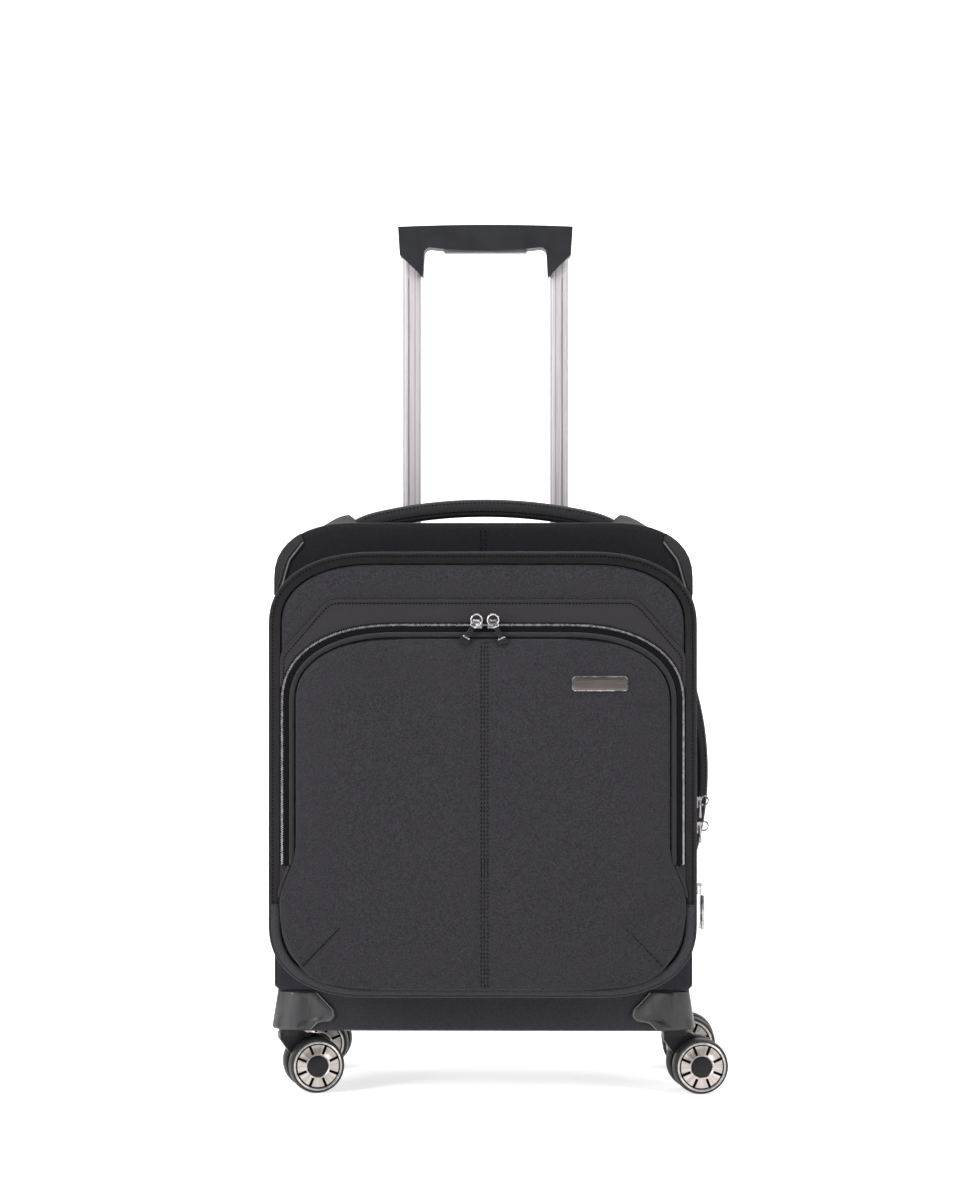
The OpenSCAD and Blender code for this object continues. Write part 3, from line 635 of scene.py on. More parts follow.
def build_body():
    roll = 13 * MM
    thick = 3.3 * MM
    side_path = resample(over_the_top(body_outline(), BODY_LOW + 0.4 * MM), step=4 * MM)
    depth = np.linspace(SEAM_Y + 3 * MM, BACK_Y - roll, 26)
    profile = [(-thick, SEAM_Y + 0.4 * MM), (-1.2 * MM, SEAM_Y + 0.2 * MM), (-0.3 * MM, SEAM_Y + 1 * MM)]
    profile += [(0, y) for y in depth]
    profile += arc(-roll, BACK_Y - roll, roll, 0, 90, 8)[1:]
    profile += [(-roll - 1 * MM, BACK_Y - 3 * MM), (-thick, BACK_Y - roll)]

    def soften(verts, path, out, prof):
        outer = slice(3, 3 + len(depth))
        share = (depth - depth[0]) / (depth[-1] - depth[0])
        belly = np.sin(np.pi * share)[:, None] ** 0.6
        across, up = np.abs(out[:, 0]), out[:, 1]
        ripple = waves(verts[outer, :, 1] * 1.6 + verts[outer, :, 0], verts[outer, :, 2], 3)
        grow = belly * (0.9 * MM + 0.45 * MM * ripple)
        verts[outer, :, 0] += grow * out[None, :, 0]
        verts[outer, :, 2] += grow * out[None, :, 1]
        verts[outer, :, 2] += handle_hump(verts[outer, :, 0], verts[outer, :, 1]) * (up > 0.5)[None, :]
        return verts

    shell = sweep("shell_cloth", side_path, profile, M["side"], closed=False, adjust=soften)
    cut_block(shell, (bezel_lo.x + 1.2 * MM, bezel_lo.y + 1.2 * MM, bezel_lo.z - 2 * MM),
              (bezel_hi.x - 1.2 * MM, bezel_hi.y - 1.2 * MM, bezel_hi.z + 20 * MM))
    piece(shell, "case", ["case_shell"])

    back_outline = resample(body_outline(roll + 0.6 * MM), step=5 * MM, closed=True)
    build_back(back_outline)
    cord = resample(body_outline(roll - 0.4 * MM), step=5 * MM, closed=True)
    piping = cord_along("back_piping", at_y(cord, BACK_Y - 0.6 * MM), 1.5 * MM, M["piping"], closed=True)
    piece(piping, "case")
    row = resample(over_the_top(body_outline(roll - 7 * MM), BODY_LOW + 3 * MM), step=3 * MM)
    out = normals_of(row, False)
    direction = np.stack([out[:, 0], np.full(len(out), 1.0), out[:, 1]], axis=1)
    stitches("back_stitches", at_y(row, BACK_Y - 1.9 * MM), direction, "case")
    build_lining()


def cut_block(obj, low, high):
    """Takes a plain block out of a closed piece."""
    lo, hi = Vector(low), Vector(high)
    corners = [(x, y, z) for z in (lo.z, hi.z) for y in (lo.y, hi.y) for x in (lo.x, hi.x)]
    faces = [(0, 2, 3, 1), (4, 5, 7, 6), (0, 1, 5, 4), (2, 6, 7, 3), (0, 4, 6, 2), (1, 3, 7, 5)]
    mesh = bpy.data.meshes.new("cutter")
    mesh.from_pydata(corners, [], faces)
    cutter = bpy.data.objects.new("cutter", mesh)
    bpy.context.scene.collection.objects.link(cutter)
    mod = obj.modifiers.new("cut", "BOOLEAN")
    mod.operation = "DIFFERENCE"
    mod.solver = "EXACT"
    mod.object = cutter
    shown = obj.evaluated_get(bpy.context.evaluated_depsgraph_get())
    cut = bpy.data.meshes.new_from_object(shown)
    obj.modifiers.clear()
    old, obj.data = obj.data, cut
    bpy.data.meshes.remove(old)
    bpy.data.objects.remove(cutter, do_unlink=True)
    bpy.data.meshes.remove(mesh)


def build_back(outline):
    """The back: one crowned pad with two upright channels over the handle tubes."""
    centre = np.array([0, (outline[:, 1].min() + outline[:, 1].max()) / 2])
    loops = []
    shares = [1.0, 0.985, 0.96, 0.92, 0.85, 0.75, 0.62, 0.48, 0.34, 0.2, 0.08]
    for k, share in enumerate(shares):
        ring = centre + (outline - centre) * share
        edge = min(1.0, (1 - share) / 0.05)
        y = BACK_Y - 3.5 * MM + 3.2 * MM * math.sqrt(max(0.0, 1 - (1 - edge) ** 2))
        y = np.full(len(ring), y)
        channel = np.exp(-((np.abs(ring[:, 0]) - 96 * MM) / (2.2 * MM)) ** 2)
        y -= 0.9 * MM * channel * (edge >= 1)
        y += 0.35 * MM * waves(ring[:, 0], ring[:, 1], 5) * edge
        loops.append(np.stack([ring[:, 0], y, ring[:, 1]], axis=1))
    last = centre + (outline - centre) * 0.08
    back = [at_y(last, BACK_Y - 4.4 * MM), at_y(outline, BACK_Y - 4.4 * MM)]
    obj = loft("back_cloth", back + loops, M["side"], closed=True, solid=False)
    fill_holes(obj)
    piece(obj, "case", ["back_panel"])
    sill = rounded_bar("back_sill", (-BODY_HALF + 2 * MM, BACK_Y - 12 * MM, BODY_LOW + 0.2 * MM),
                       (BODY_HALF - 2 * MM, BACK_Y - 0.4 * MM, BODY_LOW + 16 * MM), 5 * MM, M["side"], segments=6)
    piece(sill, "case")
    for s in (-1, 1):
        z = np.linspace(BODY_LOW + 22 * MM, BODY_TOP - 22 * MM, 60)
        line = np.stack([np.full(60, s * 92.5 * MM), np.full(60, BACK_Y - 0.2 * MM), z], axis=1)
        stitches(f"back_channel_{'left' if s < 0 else 'right'}", line, (0, 1, 0), "case")


def fill_holes(obj):
    fix = bmesh.new()
    fix.from_mesh(obj.data)
    bmesh.ops.holes_fill(fix, edges=[e for e in fix.edges if e.is_boundary], sides=0)
    bmesh.ops.recalc_face_normals(fix, faces=fix.faces)
    fix.to_mesh(obj.data)
    fix.free()


def build_lining():
    """The compartment's lining: a thin open box whose back hides the handle tubes."""
    gap = 8 * MM
    front, back = SEAM_Y + 1 * MM, 62 * MM
    outline = resample(panel(BODY_HALF, BODY_LOW, bezel_lo.z + 4 * MM, SHOULDER, BODY_FOOT, gap), step=6 * MM, closed=True)
    outer = resample(panel(BODY_HALF, BODY_LOW, bezel_lo.z + 4 * MM, SHOULDER, BODY_FOOT, gap - 0.8 * MM),
                     count=len(outline), closed=True)
    centre = np.array([0, outline[:, 1].mean()])
    inside = [at_y(centre + (outline - centre) * s, back - 8 * MM) for s in (0.05, 0.3, 0.6, 0.9, 0.985)]
    inside += [at_y(outline, y) for y in np.linspace(back - 9.5 * MM, front, 8)]
    outside = [at_y(outer, y) for y in np.linspace(front, back - 8.5 * MM, 6)]
    outside += [at_y(centre + (outline - centre) * s, back - 7.2 * MM) for s in (0.99, 0.9, 0.6, 0.3, 0.05)]
    obj = loft("compartment_lining", inside + outside, M["liner"], closed=True, solid=False)
    fill_holes(obj)
    piece(obj, "case")


def build_base():
    """The cloth-covered lower box between the caster housings, and its floor plate."""
    lo, hi = tray_lo, tray_hi
    r = 17 * MM
    half, front, back = hi.x - 0.6 * MM, lo.y + 0.5 * MM, hi.y - 0.5 * MM

    def plan(inset):
        points = []
        for cx, cy, a in ((half - r, back - r, 0), (r - half, back - r, 90), (r - half, front + r, 180), (half - r, front + r, 270)):
            points += arc(cx, cy, max(r - inset, MM), a, a + 90, 8)
        return resample(points, count=240, closed=True)

    roll = 4 * MM
    levels = [(3 * MM, tray_hi.z), (0.6 * MM, tray_hi.z), (0, tray_hi.z - 0.8 * MM)]
    levels += [(0, z) for z in np.linspace(tray_hi.z - 4 * MM, lo.z + roll, 6)]
    levels += [(roll - roll * math.cos(math.radians(a)), lo.z + roll - roll * math.sin(math.radians(a))) for a in (22, 45, 68, 90)]
    levels += [(40 * MM, lo.z + 0.1 * MM), (90 * MM, lo.z + 0.1 * MM)]
    loops = []
    for inset, z in levels:
        ring = plan(min(inset, 16 * MM))
        if inset > 16 * MM:
            ring = ring * (1 - inset / 120 / MM)
        else:
            scale = np.array([(half - inset) / half, 1 - 2 * inset / (back - front)])
            middle = np.array([0, (front + back) / 2])
            ring = middle + (plan(0) - middle) * scale
        loops.append(np.stack([ring[:, 0], ring[:, 1], np.full(len(ring), z)], axis=1))
    floor_in = loops[-1] + np.array([0, 0, 3 * MM])
    wall_in = loops[0] + np.array([0, 0, 3 * MM - (tray_hi.z - lo.z)])
    obj = loft("base_cloth", [floor_in, wall_in] + loops, M["side"], closed=True, solid=False)
    fill_holes(obj)
    piece(obj, "case", ["base_tray"])
    # a thin lighter cord along the base's lower front edge: painted highlight of the light on that edge
    rim_highlight = [(x * MM, front + 1.1 * MM, lo.z + 0.9 * MM) for x in np.linspace(-128, 128, 30)]
    piece(cord_along("base_rim_highlight", np.array(rim_highlight), 0.7 * MM, M["rim"]), "case")
    rails = []
    for s in (-1, 0, 1):
        x = s * 60 * MM
        bar = rounded_bar(f"base_rail_{s + 1}", (x - 7 * MM, front + 30 * MM, lo.z - 1.2 * MM),
                          (x + 7 * MM, back - 30 * MM, lo.z + 1 * MM), 1 * MM, M["black"])
        piece(bar, "case")
        rails.append(bar)
    screws = []
    for x in (-110, -30, 30, 110):
        for y in (-70, 75):
            screws.append((np.array([x * MM, y * MM, lo.z]), np.array([1.0, 0, 0]), np.array([0, 0, -1.0]), np.array([0, 1.0, 0])))
    head = [(4 * MM * math.cos(a), h, 4 * MM * math.sin(a)) for h, k in ((0, 1), (1.0 * MM, 1)) for a in np.linspace(0, 2 * np.pi, 12, endpoint=False)]
    rim = [(2.6 * MM * math.cos(a), 1.5 * MM, 2.6 * MM * math.sin(a)) for a in np.linspace(0, 2 * np.pi, 12, endpoint=False)]
    faces = [(i, (i + 1) % 12, 12 + (i + 1) % 12, 12 + i) for i in range(12)]
    faces += [(12 + i, 12 + (i + 1) % 12, 24 + (i + 1) % 12, 24 + i) for i in range(12)]
    faces += [tuple(range(24, 36)), tuple(range(11, -1, -1))]
    obj = many("base_screws", head + rim, faces, screws, M["steel"], auto=40)
    piece(obj, "case")


def rounded_bar(name, low, high, radius, material, segments=3):
    """A block with rounded edges."""
    low, high = Vector(low), Vector(high)
    bm = bmesh.new()
    bmesh.ops.create_cube(bm, size=1, matrix=Matrix.Translation((low + high) / 2) @ Matrix.Diagonal((*(high - low), 1)))
    bmesh.ops.bevel(bm, geom=bm.edges[:], offset=radius, segments=segments, affect="EDGES", profile=0.5)
    mesh = bpy.data.meshes.new(name)
    bm.to_mesh(mesh)
    bm.free()
    for polygon in mesh.polygons:
        polygon.use_smooth = True
    mesh.set_sharp_from_angle(angle=math.radians(50))
    mesh.materials.append(material)
    obj = bpy.data.objects.new(name, mesh)
    bpy.context.scene.collection.objects.link(obj)
    return obj


def build_expander():
    """The frame behind the lid: rounded cloth outside, and a front face that the lid's mouth opens through."""
    count = 320
    outer = resample(body_outline(), count=count, closed=True)
    out = normals_of(outer, True)
    mouth = resample(lid_outline(10 * MM), count=count, closed=True)
    roll = 5 * MM

    def shifted(offset):
        return outer + out * offset

    loops = [at_y(shifted(-0.4 * MM), RING_BACK - 0.2 * MM), at_y(shifted(0.4 * MM), RING_BACK - 2 * MM)]
    for a in (0, 22, 45, 68, 90):
        s = math.radians(a)
        loops.append(at_y(shifted(0.4 * MM - roll * (1 - math.cos(s))), RING_FRONT + roll * (1 - math.sin(s))))
    inner_start = shifted(0.4 * MM - roll)
    for share in (0.12, 0.3, 0.5, 0.7, 0.88, 1.0):
        ring = inner_start + (mouth - inner_start) * share
        loops.append(at_y(ring, RING_FRONT))
    loops.append(at_y(mouth, RING_FRONT + 2.4 * MM))
    loops.append(at_y(inner_start + (mouth - inner_start) * 0.5, RING_FRONT + 2.4 * MM))
    loops.append(at_y(shifted(-5 * MM), RING_FRONT + 3.4 * MM))
    loops.append(at_y(shifted(-5 * MM), RING_BACK - 0.2 * MM))
    obj = loft("expander_cloth", loops, M["body"], closed=True, solid=True)
    piece(obj, "expander", ["expander_ring"])

    edge = resample(over_the_top(body_outline(-0.1 * MM), BODY_LOW + 4 * MM), step=4 * MM)
    piping = cord_along("front_edge_piping", at_y(edge, RING_FRONT + 3.0 * MM), 1.1 * MM, M["piping"])
    piece(piping, "expander")

    for k, x in enumerate((-2.4, 2.4)):
        line = np.stack([np.full(20, x * MM), np.full(20, RING_FRONT - 0.1 * MM), np.linspace(LID_TOP + 2 * MM, BODY_TOP - 5 * MM, 20)], axis=1)
        stitches(f"top_seam_stitches_{k}", line, (0, -1, 0), "expander")
    seam = rounded_bar("top_seam", (-0.5 * MM, RING_FRONT - 0.45 * MM, LID_TOP + 1 * MM), (0.5 * MM, RING_FRONT + 0.5 * MM, BODY_TOP - 4 * MM), 0.3 * MM, M["body"])
    piece(seam, "expander")

    gusset_path = resample(body_outline(5.3 * MM), step=6 * MM, closed=True)
    lo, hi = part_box("expansion_gusset")
    depth = np.linspace(lo.y, hi.y, 33)
    fold = 0.35 * MM * np.sin(np.linspace(0, 8 * np.pi, 33))
    profile = [(fold[k], y) for k, y in enumerate(depth)] + [(fold[k] - 0.7 * MM, depth[k]) for k in range(32, -1, -1)]
    gusset = sweep("gusset_cloth", gusset_path, profile, M["gusset"], closed=True)
    piece(gusset, "expander", ["expansion_gusset"])

    # expansion zip, on the body's side at the seam
    line = resample(over_the_top(body_outline(), BODY_LOW + 6 * MM), step=3 * MM)
    out = normals_of(line, False)
    direction = np.stack([out[:, 0], np.zeros(len(out)), out[:, 1]], axis=1)
    tape = sweep("expansion_tape", line, [(-0.2 * MM, SEAM_Y + 0.4 * MM), (0.75 * MM, SEAM_Y + 0.4 * MM), (0.9 * MM, SEAM_Y + 4 * MM), (-0.2 * MM, SEAM_Y + 5 * MM)],
                 M["zip_cloth"], closed=False)
    piece(tape, "case")
    points = at_y(line + out * 0.5 * MM, (SEAM_Y + RING_BACK) / 2)
    teeth("expansion_teeth", points, direction, "expander", wide=1.9 * MM)

    # main zip, between the frame and the lid
    line = resample(lid_outline(4.5 * MM), step=3 * MM, closed=True)
    out = normals_of(line, True)
    direction = np.stack([out[:, 0], np.zeros(len(out)), out[:, 1]], axis=1)
    zl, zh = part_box("main_zip")
    tape = sweep("main_tape", line, [(-4 * MM, zl.y + 0.1 * MM), (0.6 * MM, zl.y + 0.1 * MM), (1.0 * MM, zh.y - 0.2 * MM), (-4 * MM, zh.y)],
                 M["zip_cloth"], closed=True)
    piece(tape, "expander", ["main_zip"])
    teeth("main_teeth", at_y(line + out * 1.2 * MM, (zl.y + zh.y) / 2), direction, "expander", closed=True, wide=1.8 * MM)



# ---------------------------------------------------------------- lid

def build_lid():
    count = 460
    path = resample(lid_outline(), count=count, closed=True)
    depth = np.linspace(LID_BACK - 1.4 * MM, BAND_FRONT + 4 * MM, 12)
    profile = [(-3 * MM, LID_BACK - 0.5 * MM), (-1.4 * MM, LID_BACK - 0.1 * MM), (-0.4 * MM, LID_BACK - 0.5 * MM)]
    profile += [(0, y) for y in depth]
    profile += [(-3.2 * MM + 3.2 * MM * math.cos(a), BAND_FRONT + 3.7 * MM - 3.2 * MM * math.sin(a))
                for a in np.radians([20, 40, 60, 80, 90])]
    profile += [(-9.9 * MM, BAND_FRONT + 0.6 * MM), (-9.9 * MM, BAND_FRONT + 4 * MM), (-3 * MM, BAND_FRONT + 4 * MM)]

    def soften(verts, path_, out, prof):
        side = slice(3, 3 + len(depth))
        share = np.linspace(0, 1, len(depth))[:, None]
        ripple = waves(verts[side, :, 1] * 2, verts[side, :, 0] + verts[side, :, 2], 11)
        grow = np.sin(np.pi * share) * (0.7 * MM + 0.35 * MM * ripple)
        verts[side, :, 0] += grow * out[None, :, 0]
        verts[side, :, 2] += grow * out[None, :, 1]
        return verts

    gusset = sweep("lid_gusset_cloth", path, profile, M["side"], closed=True, adjust=soften)
    piece(gusset, "lid", ["lid_band"])

    tape_profile = [(-1.6 * MM, BAND_FRONT + 1.2 * MM), (-1.9 * MM, BAND_FRONT + 0.1 * MM), (-2.6 * MM, BAND_FRONT - 0.35 * MM),
                    (-6 * MM, BAND_FRONT - 0.5 * MM), (-9.0 * MM, BAND_FRONT - 0.35 * MM), (-9.9 * MM, BAND_FRONT + 0.2 * MM),
                    (-10.2 * MM, BAND_FRONT + 1.2 * MM)]
    upper = resample(over_the_top(lid_outline(), BORDER_END), step=4 * MM)
    lower = resample(under(lid_outline(), BORDER_END), step=4 * MM)
    piece(sweep("border_tape", upper, tape_profile, M["tape"], closed=False), "lid")
    roll = [(-5.9 * MM + 4.2 * MM * math.cos(a), BAND_FRONT + 0.9 * MM - 1.9 * MM * math.sin(a)) for a in np.radians(np.linspace(0, 180, 13))]
    piece(sweep("lower_border", lower, roll, M["roll"], closed=False), "lid")
    edge = resample(lid_outline(0.9 * MM), step=4 * MM, closed=True)
    piece(cord_along("lid_edge_piping", at_y(edge, BAND_FRONT + 1.0 * MM), 1.15 * MM, M["piping"], closed=True), "lid")
    back_edge = resample(lid_outline(0.6 * MM), step=4 * MM, closed=True)
    piece(cord_along("lid_back_piping", at_y(back_edge, LID_BACK - 1.3 * MM), 1.0 * MM, M["piping"], closed=True), "lid")

    row = resample(over_the_top(lid_outline(3.7 * MM), BORDER_END + 1 * MM), step=3 * MM)
    stitches("border_stitches", at_y(row, BAND_FRONT - 0.45 * MM), (0, -1, 0), "lid")
    for s, side in ((-1, "left"), (1, "right")):
        x = np.linspace(LID_HALF - 2.5 * MM, LID_HALF - 9.4 * MM, 6) * s
        for k, dz in enumerate((-1.6, 1.6)):
            line = np.stack([x, np.full(6, BAND_FRONT - 0.5 * MM), np.full(6, BORDER_END + dz * MM)], axis=1)
            stitches(f"border_seam_{side}_{k}", line, (0, -1, 0), "lid", pitch=2.4 * MM, length=1.8 * MM)

    build_front_panel()
    build_placket()
    build_pocket_zip()
    build_lid_lining()
    build_hinge_tape()


def build_front_panel():
    count = 320
    outer = resample(lid_outline(11.4 * MM), count=count, closed=True)
    out = normals_of(outer, True)
    window = panel(ZIP_HALF, FOLD_Z + 8 * MM - 14 * MM, ZIP_TOP, ZIP_CORNER, (20 * MM, 20 * MM), 14 * MM)
    inner = resample(window, count=count, closed=True)
    loops = [at_y(outer, PANEL_BACK - 0.5 * MM)]
    for a in (0, 25, 50, 70, 90):
        s = math.radians(a)
        loops.append(at_y(outer - out * 2 * MM * (1 - math.cos(s)), PANEL_FRONT + 1.2 * MM - 2.4 * MM * math.sin(s)))
    start = outer - out * 2 * MM
    for share in (0.08, 0.18, 0.3, 0.5, 0.75, 1.0):
        ring = start + (inner - start) * share
        level = PANEL_FRONT - 1.2 * MM + 1.2 * MM * min(1, share * 2.2) + 0.25 * MM * waves(ring[:, 0], ring[:, 1], 21)
        points = at_y(ring, PANEL_FRONT)
        points[:, 1] = level
        loops.append(points)
    loops.append(at_y(inner, PANEL_BACK - 0.5 * MM))
    obj = loft("front_panel_cloth", loops, M["front"], closed=True, solid=True)
    piece(obj, "lid", ["lid_panel"])


def placket_edge(inset=0.0):
    """The raised outer edge of the placket, from the right side over the top to the left."""
    half = LID_HALF - 10.4 * MM - inset
    top = ZIP_TOP + 22.5 * MM - inset
    low = ZIP_TOP - 56 * MM
    slope = inset * 0.42
    right = [(half, low), (half, top - 51 * MM), (half - 0.6 * MM, top - 48.6 * MM), (half - 2.4 * MM, top - 45.6 * MM),
             (half - 39 * MM + slope, top - 4.8 * MM), (half - 42 * MM + slope, top - 2.3 * MM), (half - 45 * MM + slope, top - 0.8 * MM),
             (half - 49 * MM + slope, top)]
    return np.array(right + [(-x, z) for x, z in right[::-1]])


def build_placket():
    count = 300
    outer = resample(placket_edge(), count=count)
    inner = resample(zip_path(-1.7 * MM, ZIP_TOP - 56 * MM), count=count)
    loops = [at_y(outer, PANEL_FRONT + 0.6 * MM)]
    face = PANEL_FRONT - 2.6 * MM
    rows = [(0.0, 0.9), (0.006, 0.35), (0.02, 0.05), (0.05, 0), (0.1, 0.16), (0.2, 0.1), (0.4, 0), (0.6, 0), (0.8, 0.05), (0.93, 0.1), (1.0, 0.5)]
    for share, back in rows:
        ring = outer + (inner - outer) * share
        points = at_y(ring, face)
        points[:, 1] = face + back * 2.2 * MM + 0.18 * MM * waves(ring[:, 0] * 1.5, ring[:, 1] * 1.5, 31) * (0.05 < share < 0.95)
        loops.append(points)
    loops.append(at_y(inner, PANEL_FRONT + 0.6 * MM))
    obj = loft("placket_cloth", loops, M["placket"], closed=False, solid=True)
    piece(obj, "lid", ["pocket_placket"])
    edge = resample(placket_edge(0.5 * MM), step=4 * MM)
    piece(cord_along("placket_edge_cord", at_y(edge, face + 0.7 * MM), 0.8 * MM, M["placket"]), "lid")
    row = resample(placket_edge(3.1 * MM), step=3 * MM)
    stitches("placket_stitches", at_y(row, face - 0.05 * MM), (0, -1, 0), "lid", pitch=3.2 * MM, length=2.3 * MM, thick=2.6 * MM)


def build_pocket_zip():
    """The zip's outer half stays on the lid, and its inner half goes with the pocket's flap."""
    path = resample(zip_path(), step=3 * MM)
    face = ZIP_FRONT + 0.9 * MM
    outer = sweep("zip_tape_outer", path, [(1.9 * MM, PANEL_FRONT), (1.9 * MM, face + 0.3 * MM), (0.1 * MM, face), (0.1 * MM, PANEL_FRONT)],
                  M["zip_cloth"], closed=False)
    piece(outer, "lid", ["pocket_zip"])
    inner = sweep("zip_tape_inner", path, [(-0.1 * MM, face + 1.0 * MM), (-0.1 * MM, face), (-1.6 * MM, face - 0.15 * MM), (-5.6 * MM, face + 0.1 * MM),
                                           (-8.6 * MM, face + 0.9 * MM), (-8.6 * MM, face + 1.4 * MM)], M["zip_cloth"], closed=False)
    piece(inner, "flap")
    points = at_y(path, face - 0.2 * MM)
    teeth("zip_teeth_outer", points, (0, -1, 0), "lid", row=0)
    teeth("zip_teeth_inner", points, (0, -1, 0), "flap", row=1)
    row = resample(zip_path(3.4 * MM), step=3 * MM)
    stitches("zip_tape_stitches", at_y(row, face), (0, -1, 0), "flap", pitch=2.2 * MM, length=1.6 * MM, thick=1.2 * MM)
    cord = resample(zip_path(8.6 * MM), step=3 * MM)
    piece(cord_along("flap_piping", at_y(cord, face - 0.3 * MM), 2.1 * MM, M["piping"], steps=12), "flap")


def build_lid_lining():
    outline = resample(lid_outline(3.5 * MM), step=6 * MM, closed=True)
    outer = resample(lid_outline(2.9 * MM), count=len(outline), closed=True)
    centre = np.array([0, (outline[:, 1].min() + outline[:, 1].max()) / 2])
    floor = LID_BACK - 22.6 * MM
    inside = [at_y(centre + (outline - centre) * s, floor) for s in (0.06, 0.3, 0.6, 0.9, 0.98)]
    inside += [at_y(outline, y) for y in np.linspace(floor + 2 * MM, LID_BACK - 1 * MM, 6)]
    outside = [at_y(outer, y) for y in (LID_BACK - 1 * MM, floor)]
    outside += [at_y(centre + (outline - centre) * s, floor - 0.7 * MM) for s in (0.985, 0.9, 0.6, 0.3, 0.06)]
    obj = loft("lid_lining", inside + outside, M["liner"], closed=True, solid=False)
    fill_holes(obj)
    piece(obj, "lid")


def build_hinge_tape():
    """A strip of cloth down the left side, which the lid turns on."""
    rows = np.linspace(LID_LOW + 74 * MM, LID_TOP - 76 * MM, 40)
    ys = [RING_FRONT + 5.5 * MM, RING_FRONT + 3 * MM, RING_FRONT + 1 * MM, RING_FRONT - 0.4 * MM, RING_FRONT - 1.2 * MM,
          LID_BACK - 0.1 * MM, LID_BACK - 1.2 * MM, LID_BACK - 3 * MM, LID_BACK - 6.5 * MM]
    xs = [BODY_HALF + 0.5 * MM, BODY_HALF + 0.9 * MM, BODY_HALF + 1.5 * MM, LID_HALF + 0.1 * MM, LID_HALF + 0.7 * MM,
          LID_HALF + 0.9 * MM, LID_HALF + 0.9 * MM, LID_HALF + 1.0 * MM, LID_HALF + 0.8 * MM]
    loops = [np.stack([np.full(40, -x), np.full(40, y), rows], axis=1) for x, y in zip(xs, ys)]
    loops += [np.stack([np.full(40, -x + 0.9 * MM), np.full(40, y), rows], axis=1) for x, y in list(zip(xs, ys))[::-1]]
    obj = loft("hinge_tape", loops, M["tape"], closed=False, solid=True)
    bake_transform(obj)


# ---------------------------------------------------------------- pocket face

def face_half(z):
    """Half the width of the pocket's face at each height."""
    low = np.array([(101.6, 92), (102.4, 113), (104.0, 127), (108.6, 147), (114.5, 156.5), (122, 164.5), (135, 173.5), (152, 180.6),
                    (170, 183.1), (182, 183.1), (190, 181.9), (200, 178.0), (211, 173.3), (219, 170.4), (228, 169)]) * MM
    z = np.asarray(z, float)
    inset = 12.6 * MM
    top, size = ZIP_TOP - inset, (ZIP_CORNER[0] - inset, ZIP_CORNER[1] - inset)
    rise = np.clip((z - (top - size[1])) / size[1], 0, 1)
    upper = ZIP_HALF - inset - size[0] + size[0] * np.clip(1 - rise ** CORNER_POWER, 0, 1) ** (1 / CORNER_POWER)
    lower = np.interp(z, low[:, 0] + (LID_LOW - 94.8 * MM), low[:, 1])
    return np.where(z > 228 * MM, upper, np.minimum(lower, LID_HALF - 9.9 * MM))


